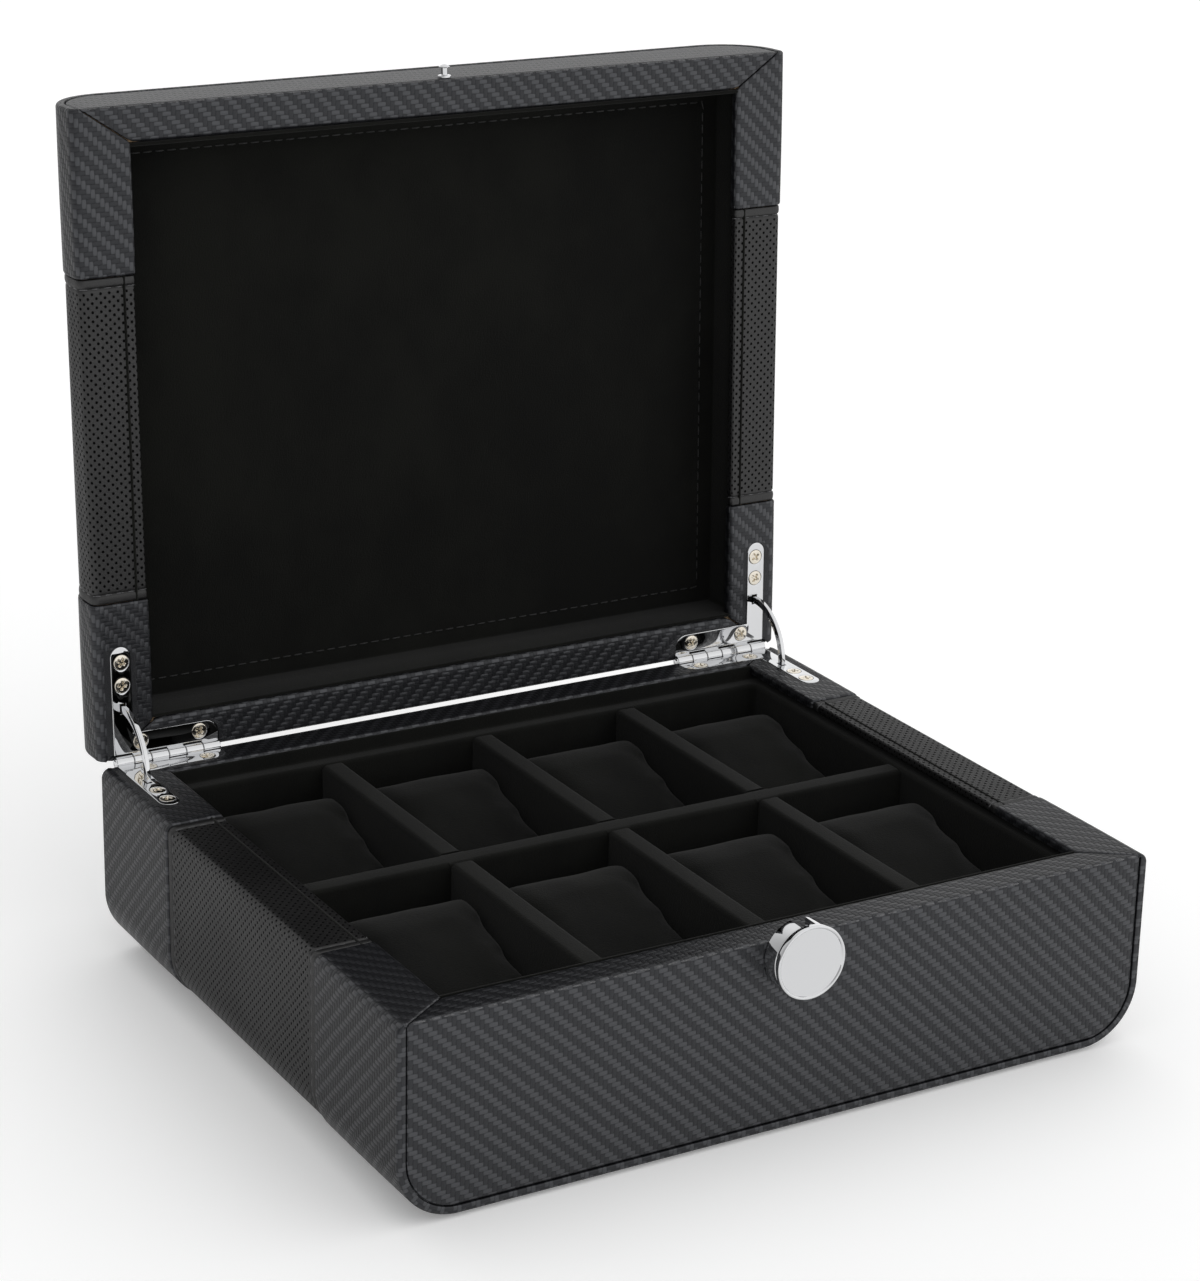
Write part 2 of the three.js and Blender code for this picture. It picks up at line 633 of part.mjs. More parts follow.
function latchButton() {
  const back = FRONT_Y - FIT_GAP - CASE_DEPTH - BUTTON_TRAVEL_GAP;
  const edge = BUTTON_RIM / 2;
  return outOfFront([
    [0, -BUTTON_STALK_LENGTH],
    [BUTTON_STALK_RADIUS, -BUTTON_STALK_LENGTH],
    [BUTTON_STALK_RADIUS, 0],
    [BUTTON_RADIUS - edge / 2, 0],
    [BUTTON_RADIUS, edge / 2],
    [BUTTON_RADIUS, BUTTON_THICKNESS - edge],
    [BUTTON_RADIUS - edge, BUTTON_THICKNESS],
    [BUTTON_RADIUS - BUTTON_RIM, BUTTON_THICKNESS - edge],
    [BUTTON_DISH_RADIUS, BUTTON_THICKNESS - BUTTON_DISH_SIDE],
    [0, BUTTON_THICKNESS - BUTTON_DISH],
  ], ROUND_SIDES, 0, back, LATCH_Z);
}

function latchSpring() {
  const from = FRONT_Y - FIT_GAP + STEM_LENGTH - CASE_BACK - FIT_GAP - SPRING_WIRE;
  const to = FRONT_Y - FIT_GAP - CASE_DEPTH - BUTTON_TRAVEL_GAP + FIT_GAP + SPRING_WIRE;
  class Helix extends THREE.Curve {
    getPoint(t, target = new THREE.Vector3()) {
      const angle = 2 * Math.PI * SPRING_TURNS * t;
      return target.set(SPRING_RADIUS * Math.cos(angle), from + (to - from) * t,
        LATCH_Z + SPRING_RADIUS * Math.sin(angle));
    }
  }
  const wire = new THREE.Shape(arcPoints(0, 0, SPRING_WIRE, 0, 2 * Math.PI, ARC_STEPS)
    .slice(1).map(([a, b]) => new THREE.Vector2(a, b)));
  const geometry = new THREE.ExtrudeGeometry(wire, {
    steps: SPRING_TURNS * SPRING_STEPS_PER_TURN, bevelEnabled: false, extrudePath: new Helix(),
  });
  return toSolid(geometry);
}

// A sprung clip whose two arms stand on either side of the stud's neck.
function latchClip() {
  const back = FRONT_Y - FIT_GAP - CASE_BACK - FIT_GAP;
  const front = back - CLIP_THICKNESS;
  const inner = STUD_SHANK_RADIUS + CLIP_NECK_GAP;
  const outer = inner + CLIP_THICKNESS;
  const low = LATCH_Z + STEM_RADIUS;
  const top = LATCH_Z + CASE_RADIUS - CASE_WALL;
  const foot = block(-outer, outer, front, back, low, low + CLIP_THICKNESS);
  return joined([
    foot,
    block(-outer, -inner, front, back, low, top - FIT_GAP * 2),
    block(inner, outer, front, back, low, top - FIT_GAP * 2),
  ]);
}

function lidStud() {
  return outOfFront([
    [0, -STUD_ROOT],
    [STUD_SHANK_RADIUS, -STUD_ROOT],
    [STUD_SHANK_RADIUS, 0],
    [STUD_COLLAR_RADIUS, 0],
    [STUD_COLLAR_RADIUS, STUD_COLLAR_THICKNESS],
    [STUD_SHANK_RADIUS, STUD_COLLAR_THICKNESS],
    [STUD_SHANK_RADIUS, STUD_LENGTH - STUD_HEAD_THICKNESS],
    [STUD_HEAD_RADIUS, STUD_LENGTH - STUD_HEAD_THICKNESS],
    [STUD_HEAD_RADIUS, STUD_LENGTH - STUD_HEAD_THICKNESS / 2],
    [STUD_HEAD_RADIUS / 2, STUD_LENGTH],
    [0, STUD_LENGTH],
  ], SMALL_ROUND_SIDES, 0, FRONT_Y - FIT_GAP, LID_RIM_Z + STUD_RIM_DISTANCE);
}

function latchHole(radius, z) {
  const depth = FRONT_WALL + CUT_OVERSHOOT;
  return outOfFront([[0, -depth], [radius, -depth], [radius, CUT_OVERSHOOT], [0, CUT_OVERSHOOT]],
    SMALL_ROUND_SIDES, 0, FRONT_Y, z);
}

// ---- assembly ----

const SIDES = { left: -1, right: 1 };

function buildHalfCovers(group, prefix, half, frontHole) {
  const cutters = Object.values(SIDES).flatMap((sign) => hingeCutters(half, sign));
  addPiece(group, `${prefix}_wrap_front`, endWrap(half, -1), 'carbonLeather');
  addPiece(group, `${prefix}_wrap_middle`, middleWrap(half), 'perforatedLeather');
  addPiece(group, `${prefix}_wrap_rear`, cutAll(endWrap(half, 1), cutters), 'carbonLeather');
  addPiece(group, `${prefix}_front_panel`, facePanel(half, -1).subtract(frontHole), 'carbonLeather');
  addPiece(group, `${prefix}_back_panel`, cutAll(facePanel(half, 1), cutters), 'carbonLeather');
  return cutters;
}

function buildBase(group) {
  const stemHole = latchHole(STEM_RADIUS + FIT_GAP, LATCH_Z);
  const cutters = buildHalfCovers(group, 'base', baseHalf, stemHole);
  for (const [side, sign] of Object.entries(SIDES)) {
    addPiece(group, `base_side_board_${side}`, cutAll(sideBoard(baseHalf, sign), cutters), 'board');
  }
  addPiece(group, 'base_front_board', endBoard(baseHalf, -1).subtract(stemHole), 'board');
  addPiece(group, 'base_back_board', cutAll(endBoard(baseHalf, 1), cutters), 'board');
  addPiece(group, 'base_bottom_board', bottomBoard(), 'board');
  addPiece(group, 'base_felt', undersideFelt(), 'felt');
  addPiece(group, 'base_lining', baseLining(), 'suede');
}

function buildInsert(group) {
  const middle = (COLUMNS - 1) / 2;
  const gaps = [...Array(COLUMNS - 1).keys()];
  const dividerXs = gaps.map((index) => (index + 1 - COLUMNS / 2) * DIVIDER_PITCH);
  dividerXs.forEach((x, index) => {
    addPiece(group, `divider_long_${index + 1}`, longDivider(x), 'suede');
  });
  addPiece(group, 'divider_cross', crossDivider(dividerXs), 'suede');
  const rows = {
    front: MIDDLE_Y - DIVIDER_THICKNESS / 2 - CUSHION_BACK_SPACE,
    back: INSERT_BACK_Y - CUSHION_BACK_SPACE,
  };
  for (const [row, backY] of Object.entries(rows)) {
    for (let column = 0; column < COLUMNS; column += 1) {
      const x = (column - middle) * DIVIDER_PITCH;
      addPiece(group, `cushion_${row}_${column + 1}`, cushion(x, backY), 'suede');
    }
  }
}

function buildLid(group) {
  const studHole = latchHole(STUD_SHANK_RADIUS + FIT_GAP, LID_RIM_Z + STUD_RIM_DISTANCE);
  const cutters = buildHalfCovers(group, 'lid', lidHalf, studHole);
  addPiece(group, 'lid_carcass', cutAll(lidCarcass(), cutters).subtract(studHole), 'board');
  addPiece(group, 'lid_lining', lidLining(), 'suede');
  addPiece(group, 'lid_stud', lidStud(), 'chrome');
}

function buildHinges(baseGroup, lidGroup) {
  for (const [side, sign] of Object.entries(SIDES)) {
    addPiece(baseGroup, `hinge_leaf_base_${side}`, hingeLeaf(baseHalf, sign, 1), 'chrome');
    addPiece(lidGroup, `hinge_leaf_lid_${side}`, hingeLeaf(lidHalf, sign, 0), 'chrome');
    addPiece(baseGroup, `hinge_pin_${side}`, hingePin(sign), 'chrome');
    addPiece(baseGroup, `stay_arm_${side}`, stayArm(sign), 'chrome');
    for (const [spot, place] of Object.entries(SCREW_SPOTS)) {
      addPiece(baseGroup, `screw_base_${side}_${spot}`, woodScrew(baseHalf, sign, place), 'screwSteel');
      addPiece(lidGroup, `screw_lid_${side}_${spot}`, woodScrew(lidHalf, sign, place), 'screwSteel');
    }
  }
}

function buildLatch(group) {
  addPiece(group, 'latch_case', latchCase(), 'chrome');
  addPiece(group, 'latch_button', latchButton(), 'chrome');
  addPiece(group, 'latch_spring', latchSpring(), 'springSteel');
  addPiece(group, 'latch_clip', latchClip(), 'springSteel');
}

const watchBox = new THREE.Group();
const base = new THREE.Group();
const hingePivot = new THREE.Group();
const lid = new THREE.Group();
hingePivot.position.set(0, HINGE_Y, HINGE_Z);
hingePivot.rotation.x = -OPEN_ANGLE;
lid.position.set(0, -HINGE_Y, -HINGE_Z);
hingePivot.add(lid);
watchBox.add(base, hingePivot);

buildBase(base);
buildInsert(base);
buildLatch(base);
buildLid(lid);
buildHinges(base, lid);

export default watchBox;
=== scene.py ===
import json
import math

import bmesh
import bpy
import numpy as np
from mathutils import Matrix, Vector


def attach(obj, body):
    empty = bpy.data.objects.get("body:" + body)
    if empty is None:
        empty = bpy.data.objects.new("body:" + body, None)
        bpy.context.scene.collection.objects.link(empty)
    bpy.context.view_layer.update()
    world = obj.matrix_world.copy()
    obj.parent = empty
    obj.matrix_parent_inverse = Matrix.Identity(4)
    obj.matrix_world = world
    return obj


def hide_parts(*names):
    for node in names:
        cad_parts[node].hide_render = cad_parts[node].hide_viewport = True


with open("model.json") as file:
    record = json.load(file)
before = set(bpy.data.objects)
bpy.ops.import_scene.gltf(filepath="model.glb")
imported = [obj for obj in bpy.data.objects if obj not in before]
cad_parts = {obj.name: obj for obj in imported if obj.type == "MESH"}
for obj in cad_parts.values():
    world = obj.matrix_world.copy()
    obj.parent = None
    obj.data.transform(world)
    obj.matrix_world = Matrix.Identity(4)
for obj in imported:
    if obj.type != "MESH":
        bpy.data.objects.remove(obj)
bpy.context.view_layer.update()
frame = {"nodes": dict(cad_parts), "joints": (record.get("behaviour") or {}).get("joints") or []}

mm = 0.001                      # shapes are worked out in millimetres and stored in metres
quarterTurn = math.pi / 2


# Places, read from the frame. Lid shapes are worked out with the lid shut, then opened.
lidJoint = next(j for j in frame["joints"] if j["name"] == "lid_hinge")
hingeAt = Vector(lidJoint["pos_m"])
openAngle = math.radians(-lidJoint["range_deg"][0])
openLid = Matrix.Translation(hingeAt) @ Matrix.Rotation(-openAngle, 4, "X") @ Matrix.Translation(-hingeAt)
asDrawn = Matrix.Identity(4)


# All corners of a node of the plain model, in metres.
def cadPoints(node):
    mesh = frame["nodes"][node].data
    co = np.zeros(len(mesh.vertices) * 3)
    mesh.vertices.foreach_get("co", co)
    return co.reshape(-1, 3)


# Lowest and highest corner in mm, of a base node as it stands or of a lid node with the lid shut.
def cadBox(node, place=asDrawn):
    back = np.array(place.inverted())
    points = cadPoints(node) @ back[:3, :3].T + back[:3, 3]
    return points.min(0) / mm, points.max(0) / mm


baseWrapLow, baseWrapHigh = cadBox("base_wrap_front")
lidWrapLow, lidWrapHigh = cadBox("lid_wrap_front", openLid)
liningLow, liningHigh = cadBox("base_lining")

shell = {
    "halfWidth": baseWrapHigh[0],
    "frontY": baseWrapLow[1],
    "backY": cadBox("base_wrap_rear")[1][1],
    "seamY": cadBox("base_wrap_middle")[1][1],
    "innerX": cadBox("base_side_board_right")[0][0],
    "frontWall": 13.0,
    "backWall": 13.5,
    "corner": 22.0,             # radius of the long edges under the base and on top of the lid
    "rimEdge": 3.5,
    "innerEdge": 1.5,
    "turnIn": 3.2,              # how far the leather reaches down the inside of a wall
    "leather": 1.35,
    "edgeBand": 3.0,            # strip that frames the front and back panels
    "panelGap": 0.4,
    "middleStep": 0.6,
}
halves = {
    "base": {
        "place": asDrawn, "rim": baseWrapHigh[2], "down": -1,
        "height": baseWrapHigh[2] - baseWrapLow[2], "twill": 1,
    },
    "lid": {
        "place": openLid, "rim": lidWrapLow[2], "down": 1,
        "height": lidWrapHigh[2] - lidWrapLow[2], "twill": -1,
    },
}


# Camera: a long lens from the front left, a little above, tipped a degree or so.
view = {
    "azimuth": math.radians(30.57), "elevation": math.radians(19.72), "roll": math.radians(1.285),
    "distance": 1.1828, "target": Vector((-0.0012, 0.0096, 0.1319)), "lens": 95.32,
}


def addCamera():
    side, height = view["azimuth"], view["elevation"]
    away = Vector((-math.sin(side) * math.cos(height), -math.cos(side) * math.cos(height), math.sin(height)))
    right = (-away).cross(Vector((0, 0, 1))).normalized()
    up = right.cross(-away)
    turn = Matrix.Rotation(view["roll"], 3, away)
    axes = Matrix((turn @ right, turn @ up, away)).transposed()
    data = bpy.data.cameras.new("camera")
    data.lens = view["lens"]
    data.sensor_width = 36
    data.clip_start, data.clip_end = 0.05, 50
    camera = bpy.data.objects.new("camera", data)
    camera.matrix_world = Matrix.Translation(view["target"] + away * view["distance"]) @ axes.to_4x4()
    bpy.context.scene.collection.objects.link(camera)
    bpy.context.scene.camera = camera


addCamera()
print("camera placed")


# Node helper: adds nodes to a tree and wires numbers or sockets into them.
class Wiring:
    def __init__(self, tree):
        self.tree = tree

    def add(self, kind, inputs=(), **settings):
        node = self.tree.nodes.new(kind)
        for key, value in settings.items():
            setattr(node, key, value)
        for key, value in dict(inputs).items():
            self.put(node.inputs[key], value)
        return node

    def put(self, socket, value):
        if isinstance(value, bpy.types.NodeSocket):
            self.tree.links.new(value, socket)
        else:
            socket.default_value = value

    def maths(self, operation, *values, clamp=False):
        node = self.tree.nodes.new("ShaderNodeMath")
        node.operation = operation
        node.use_clamp = clamp
        for socket, value in zip(node.inputs, values):
            self.put(socket, value)
        return node.outputs[0]

    def mixed(self, factor, first, second):
        node = self.add("ShaderNodeMix", data_type="RGBA")
        self.put(node.inputs[0], factor)
        self.put(node.inputs[6], first)
        self.put(node.inputs[7], second)
        return node.outputs[2]

    def blended(self, factor, first, second):
        node = self.add("ShaderNodeMix", data_type="FLOAT")
        self.put(node.inputs[0], factor)
        self.put(node.inputs[2], first)
        self.put(node.inputs[3], second)
        return node.outputs[0]

    def ranged(self, value, low, high, toLow, toHigh):
        node = self.add("ShaderNodeMapRange", interpolation_type="SMOOTHSTEP")
        for socket, number in zip(node.inputs, (value, low, high, toLow, toHigh)):
            self.put(socket, number)
        return node.outputs[0]


# An empty node group, with its wiring, its inputs and its outputs.
def newGroup(name, inputs, outputs):
    tree = bpy.data.node_groups.new(name, "ShaderNodeTree")
    for label, kind, value in inputs:
        socket = tree.interface.new_socket(name=label, in_out="INPUT", socket_type=kind)
        if value is not None:
            socket.default_value = value
    for label, kind in outputs:
        tree.interface.new_socket(name=label, in_out="OUTPUT", socket_type=kind)
    wires = Wiring(tree)
    start = wires.add("NodeGroupInput")
    end = wires.add("NodeGroupOutput")
    return tree, wires, start.outputs, end.inputs


vectorKind, numberKind = "NodeSocketVector", "NodeSocketFloat"


# Two-over-two twill. Cells are one tow wide; a cell shows the upright tow where the sum of its
# column and row numbers, modulo four, is under two. Each float is a crown across and along.
def twillGroup():
    tree, wires, given, out = newGroup(
        "carbonTwill",
        [("Place", vectorKind, None), ("Tow", numberKind, 2.0)],
        [("Upright", numberKind), ("Crown", numberKind), ("Height", numberKind)],
    )
    wander = wires.add("ShaderNodeTexNoise", {"Vector": given["Place"], "Scale": 0.035, "Detail": 2.0})
    shifted = wires.add("ShaderNodeVectorMath", operation="MULTIPLY_ADD")
    wires.put(shifted.inputs[0], wander.outputs["Color"])
    wires.put(shifted.inputs[1], (1.2, 1.2, 0.0))
    wires.put(shifted.inputs[2], given["Place"])
    split = wires.add("ShaderNodeSeparateXYZ", {0: shifted.outputs[0]})
    a = wires.maths("DIVIDE", split.outputs[0], given["Tow"])
    b = wires.maths("DIVIDE", split.outputs[1], given["Tow"])
    total = wires.maths("ADD", wires.maths("FLOOR", a), wires.maths("FLOOR", b))
    step = wires.maths("FLOORED_MODULO", total, 4.0)
    upright = wires.maths("LESS_THAN", step, 1.5)
    across = wires.blended(upright, wires.maths("FRACT", b), wires.maths("FRACT", a))
    along = wires.blended(upright, wires.maths("FRACT", a), wires.maths("FRACT", b))
    half = wires.maths("FLOORED_MODULO", step, 2.0)
    run = wires.maths("MULTIPLY", wires.maths("ADD", half, along), 0.5)
    crownAcross = wires.maths("SINE", wires.maths("MULTIPLY", across, math.pi))
    crownAlong = wires.maths("SINE", wires.maths("MULTIPLY", run, math.pi))
    crown = wires.maths("MULTIPLY", wires.maths("POWER", crownAcross, 0.6),
                        wires.maths("POWER", crownAlong, 0.45))
    fibres = wires.maths("SINE", wires.maths("MULTIPLY", across, 6 * math.pi))
    fine = wires.maths("MULTIPLY", fibres, 0.07)
    lifted = wires.maths("MULTIPLY", crown, wires.blended(upright, 0.62, 1.0))
    wires.put(out["Upright"], upright)
    wires.put(out["Crown"], crown)
    wires.put(out["Height"], wires.maths("ADD", lifted, fine))
    return tree


# Punched holes in staggered rows: the distance from the nearest hole centre of a brick pattern.
# The third number of Place is 1 where the leather is punched and 0 where it is plain.
def perforationGroup():
    tree, wires, given, out = newGroup(
        "perforation",
        [("Place", vectorKind, None), ("Pitch", numberKind, 3.2), ("Radius", numberKind, 0.42)],
        [("Hole", numberKind), ("Height", numberKind)],
    )
    split = wires.add("ShaderNodeSeparateXYZ", {0: given["Place"]})
    rowPitch = wires.maths("MULTIPLY", given["Pitch"], 0.5)
    row = wires.maths("DIVIDE", split.outputs[1], rowPitch)
    odd = wires.maths("FLOORED_MODULO", wires.maths("FLOOR", row), 2.0)
    column = wires.maths("ADD", wires.maths("DIVIDE", split.outputs[0], given["Pitch"]),
                         wires.maths("MULTIPLY", odd, 0.5))
    dx = wires.maths("MULTIPLY", wires.maths("SUBTRACT", wires.maths("FRACT", column), 0.5), given["Pitch"])
    dy = wires.maths("MULTIPLY", wires.maths("SUBTRACT", wires.maths("FRACT", row), 0.5), rowPitch)
    square = wires.maths("ADD", wires.maths("MULTIPLY", dx, dx), wires.maths("MULTIPLY", dy, dy))
    distance = wires.maths("SQRT", square)
    inner = wires.maths("MULTIPLY", given["Radius"], 0.7)
    outer = wires.maths("MULTIPLY", given["Radius"], 1.25)
    hole = wires.maths("MULTIPLY", wires.ranged(distance, inner, outer, 1.0, 0.0), split.outputs[2])
    wires.put(out["Hole"], hole)
    wires.put(out["Height"], wires.maths("MULTIPLY", hole, -1.0))
    return tree


# Leather grain: creases between Voronoi cells, broken up by noise.
def grainGroup():
    tree, wires, given, out = newGroup(
        "leatherGrain",
        [("Place", vectorKind, None), ("Scale", numberKind, 900.0)],
        [("Height", numberKind), ("Mottle", numberKind)],
    )
    cells = wires.add("ShaderNodeTexVoronoi", {"Vector": given["Place"], "Scale": given["Scale"]},
                      feature="DISTANCE_TO_EDGE")
    creases = wires.ranged(cells.outputs["Distance"], 0.0, 0.12, 0.0, 1.0)
    noise = wires.add("ShaderNodeTexNoise", {"Vector": given["Place"], "Scale": 2200.0, "Detail": 3.0})
    mottle = wires.add("ShaderNodeTexNoise", {"Vector": given["Place"], "Scale": 26.0, "Detail": 4.0})
    height = wires.maths("ADD", wires.maths("MULTIPLY", creases, 0.7),
                         wires.maths("MULTIPLY", noise.outputs["Fac"], 0.3))
    wires.put(out["Height"], height)
    wires.put(out["Mottle"], mottle.outputs["Fac"])
    return tree


# Brushed nap: streaky patches where the pile lies one way or the other, over fine fuzz.
def napGroup():
    tree, wires, given, out = newGroup(
        "napPile",
        [("Place", vectorKind, None), ("Patch", numberKind, 30.0)],
        [("Lay", numberKind), ("Height", numberKind)],
    )
    squashed = wires.add("ShaderNodeMapping", {"Vector": given["Place"], "Scale": (1.0, 0.45, 0.7)})
    patches = wires.add("ShaderNodeTexNoise", {
        "Vector": squashed.outputs[0], "Scale": given["Patch"], "Detail": 5.0, "Roughness": 0.62,
    })
    fuzz = wires.add("ShaderNodeTexNoise", {"Vector": given["Place"], "Scale": 1900.0, "Detail": 2.0})
    lay = wires.ranged(patches.outputs["Fac"], 0.35, 0.68, 0.0, 1.0)
    wires.put(out["Lay"], lay)
    wires.put(out["Height"], wires.maths("ADD", fuzz.outputs["Fac"], wires.maths("MULTIPLY", lay, 0.4)))
    return tree


# Handling marks on polished metal: faint wiping streaks and a few smudges, as a roughness amount.
def smudgeGroup():
    tree, wires, given, out = newGroup(
        "wipeMarks",
        [("Place", vectorKind, None), ("Clean", numberKind, 0.04), ("Marked", numberKind, 0.12)],
        [("Roughness", numberKind), ("Height", numberKind)],
    )
    stretched = wires.add("ShaderNodeMapping", {"Vector": given["Place"], "Scale": (1.0, 6.0, 1.0)})
    streaks = wires.add("ShaderNodeTexNoise", {
        "Vector": stretched.outputs[0], "Scale": 220.0, "Detail": 4.0,
    })
    smears = wires.add("ShaderNodeTexNoise", {"Vector": given["Place"], "Scale": 90.0, "Detail": 2.0})
    amount = wires.maths("MULTIPLY", wires.ranged(streaks.outputs["Fac"], 0.45, 0.75, 0.0, 1.0),
                         wires.ranged(smears.outputs["Fac"], 0.4, 0.7, 0.2, 1.0))
    wires.put(out["Roughness"], wires.blended(amount, given["Clean"], given["Marked"]))
    wires.put(out["Height"], streaks.outputs["Fac"])
    return tree


# Settled dust: small pale specks, as a mask.
def dustGroup():
    tree, wires, given, out = newGroup(
        "dustSpecks",
        [("Place", vectorKind, None), ("Amount", numberKind, 0.2)],
        [("Mask", numberKind)],
    )
    specks = wires.add("ShaderNodeTexVoronoi", {"Vector": given["Place"], "Scale": 420.0})
    patches = wires.add("ShaderNodeTexNoise", {"Vector": given["Place"], "Scale": 60.0, "Detail": 2.0})
    dots = wires.ranged(specks.outputs["Distance"], 0.03, 0.09, 1.0, 0.0)
    spread = wires.ranged(patches.outputs["Fac"], 0.5, 0.7, 0.0, 1.0)
    wires.put(out["Mask"], wires.maths("MULTIPLY", wires.maths("MULTIPLY", dots, spread), given["Amount"]))
    return tree


groups = {
    "twill": twillGroup(), "perforation": perforationGroup(), "grain": grainGroup(),
    "nap": napGroup(), "smudge": smudgeGroup(), "dust": dustGroup(),
}


# A material with one shader; fixed inputs are given by name, with _ for a space.
def newMaterial(name, **constants):
    material = bpy.data.materials.new(name)
    material.use_nodes = True
    tree = material.node_tree
    tree.nodes.clear()
    wires = Wiring(tree)
    shader = wires.add("ShaderNodeBsdfPrincipled")
    end = wires.add("ShaderNodeOutputMaterial")
    tree.links.new(shader.outputs[0], end.inputs[0])
    for label, value in constants.items():
        shader.inputs[label.replace("_", " ")].default_value = value
    return material, wires, shader


# Where a point lies: on the object itself, or on the flat sheet that a covering is cut from.
def placed(wires, kind):
    if kind == "object":
        return wires.add("ShaderNodeTexCoord").outputs["Object"]
    return wires.add("ShaderNodeAttribute", attribute_name=kind).outputs["Vector"]


def inGroup(wires, key, **values):
    node = wires.add("ShaderNodeGroup", node_tree=groups[key])
    for label, value in values.items():
        wires.put(node.inputs[label], value)
    return node.outputs


def bumped(wires, shader, height, distance, strength=1.0):
    bump = wires.add("ShaderNodeBump", {"Strength": strength, "Distance": distance, "Height": height})
    wires.put(shader.inputs["Normal"], bump.outputs[0])


# bright is the upright floats' colour, partly the twill's own tone and partly painted sheen; groove is
# painted shade between the tows.
twillLook = {
    "tow": 1.65, "dark": (0.0070, 0.0072, 0.0085, 1), "bright": (0.0145, 0.0150, 0.0172, 1),
    "groove": (0.0055, 0.0057, 0.0068, 1), "relief": 0.00013, "gloss": 0.35, "matt": 0.45,
    "dullSheen": 0.45, "brightSheen": 0.80,
}
fade = {"from": 0.22, "to": 0.7, "least": 0.22}


# Leather reflects less than a smooth plastic does near its edges, so its gloss fades with angle.
def edgeFade(wires):
    angle = wires.add("ShaderNodeLayerWeight", {"Blend": 0.5})
    return wires.ranged(angle.outputs["Facing"], fade["from"], fade["to"], 1.0, fade["least"])


# Embossed carbon-look leather: pale floats and dark floats of the twill. The pale upright floats are partly
# the twill's own tone and partly painted sheen, and painted shade darkens the grooves between tows.
def carbonLeather():
    look = twillLook
    material, wires, shader = newMaterial("carbonLeather", Specular_Tint=(0.93, 0.95, 1.0, 1))
    cloth = placed(wires, "cloth")
    here = placed(wires, "object")
    twill = inGroup(wires, "twill", Place=cloth, Tow=look["tow"])
    grain = inGroup(wires, "grain", Place=here, Scale=1500.0)
    dust = inGroup(wires, "dust", Place=here, Amount=0.12)
    # The upright floats get the paler colour: partly the twill's own tone, partly painted sheen.
    floats = wires.mixed(twill["Upright"], look["dark"], look["bright"])
    # Painted shade: the groove colour darkens each float towards its edges, between the tows.
    grooveShaded = wires.mixed(wires.ranged(twill["Crown"], 0.15, 0.75, 0.0, 1.0), look["groove"], floats)
    toned = wires.mixed(wires.ranged(grain["Mottle"], 0.35, 0.65, 0.0, 0.25), grooveShaded, look["dark"])
    wires.put(shader.inputs["Base Color"], wires.mixed(dust["Mask"], toned, (0.12, 0.12, 0.12, 1)))
    wires.put(shader.inputs["Roughness"], wires.blended(twill["Crown"], look["matt"], look["gloss"]))
    sheen = wires.blended(twill["Upright"], look["dullSheen"], look["brightSheen"])
    worn = wires.maths("MULTIPLY", wires.ranged(twill["Crown"], 0.0, 0.6, 0.62, 1.0), edgeFade(wires))
    wires.put(shader.inputs["Specular IOR Level"], wires.maths("MULTIPLY", sheen, worn))
    height = wires.maths("ADD", twill["Height"], wires.maths("MULTIPLY", grain["Height"], 0.12))
    bumped(wires, shader, height, look["relief"])
    return material


# hole is painted shade: the colour of the shadow inside each punched hole.
perforatedLook = {
    "colour": (0.0075, 0.0073, 0.0075, 1), "hole": (0.0015, 0.0015, 0.0015, 1), "relief": 0.0003,
    "pitch": 3.2, "radius": 0.5, "sheen": 0.5, "holeSheen": 0.02,
}


# Plain leather punched with small holes, which are painted dark for the shade inside them and don't shine.
def perforatedLeather():
    look = perforatedLook
    material, wires, shader = newMaterial("perforatedLeather")
    cloth = placed(wires, "cloth")
    here = placed(wires, "object")
    punched = inGroup(wires, "perforation", Place=cloth, Pitch=look["pitch"], Radius=look["radius"])
    grain = inGroup(wires, "grain", Place=here, Scale=1100.0)
    lighter = tuple(c * 1.5 for c in look["colour"][:3]) + (1,)
    skin = wires.mixed(wires.ranged(grain["Mottle"], 0.3, 0.7, 0.0, 1.0), look["colour"], lighter)
    # Painted shade: the holes are coloured near-black for the shadow inside them.
    wires.put(shader.inputs["Base Color"], wires.mixed(punched["Hole"], skin, look["hole"]))
    wires.put(shader.inputs["Roughness"], wires.ranged(grain["Mottle"], 0.3, 0.7, 0.38, 0.46))
    sheen = wires.blended(punched["Hole"], look["sheen"], look["holeSheen"])
    wires.put(shader.inputs["Specular IOR Level"], wires.maths("MULTIPLY", sheen, edgeFade(wires)))
    height = wires.maths("ADD", punched["Height"], wires.maths("MULTIPLY", grain["Height"], 0.16))
    bumped(wires, shader, height, look["relief"])
    return material


# Suede: patches of nap from dark to light, with hardly any shine.
def suede(name, dark, light, patch):
    material, wires, shader = newMaterial(name, Sheen_Weight=0.08, Sheen_Roughness=0.5,
                                          Specular_IOR_Level=0.1)
    here = placed(wires, "object")
    nap = inGroup(wires, "nap", Place=here, Patch=patch)
    dust = inGroup(wires, "dust", Place=here, Amount=0.1)
    pile = wires.mixed(nap["Lay"], dark, light)
    wires.put(shader.inputs["Base Color"], wires.mixed(dust["Mask"], pile, (0.05, 0.05, 0.05, 1)))
    wires.put(shader.inputs["Roughness"], wires.blended(nap["Lay"], 0.92, 1.0))
    bumped(wires, shader, nap["Height"], 0.00035, 0.6)
    return material


# Bright metal with faint wiping marks.
def polished(name, colour, clean, marked):
    material, wires, shader = newMaterial(name, Base_Color=colour, Metallic=1.0)
    here = placed(wires, "object")
    marks = inGroup(wires, "smudge", Place=here, Clean=clean, Marked=marked)
    wires.put(shader.inputs["Roughness"], marks["Roughness"])
    bumped(wires, shader, marks["Height"], 0.00001, 0.15)
    return material


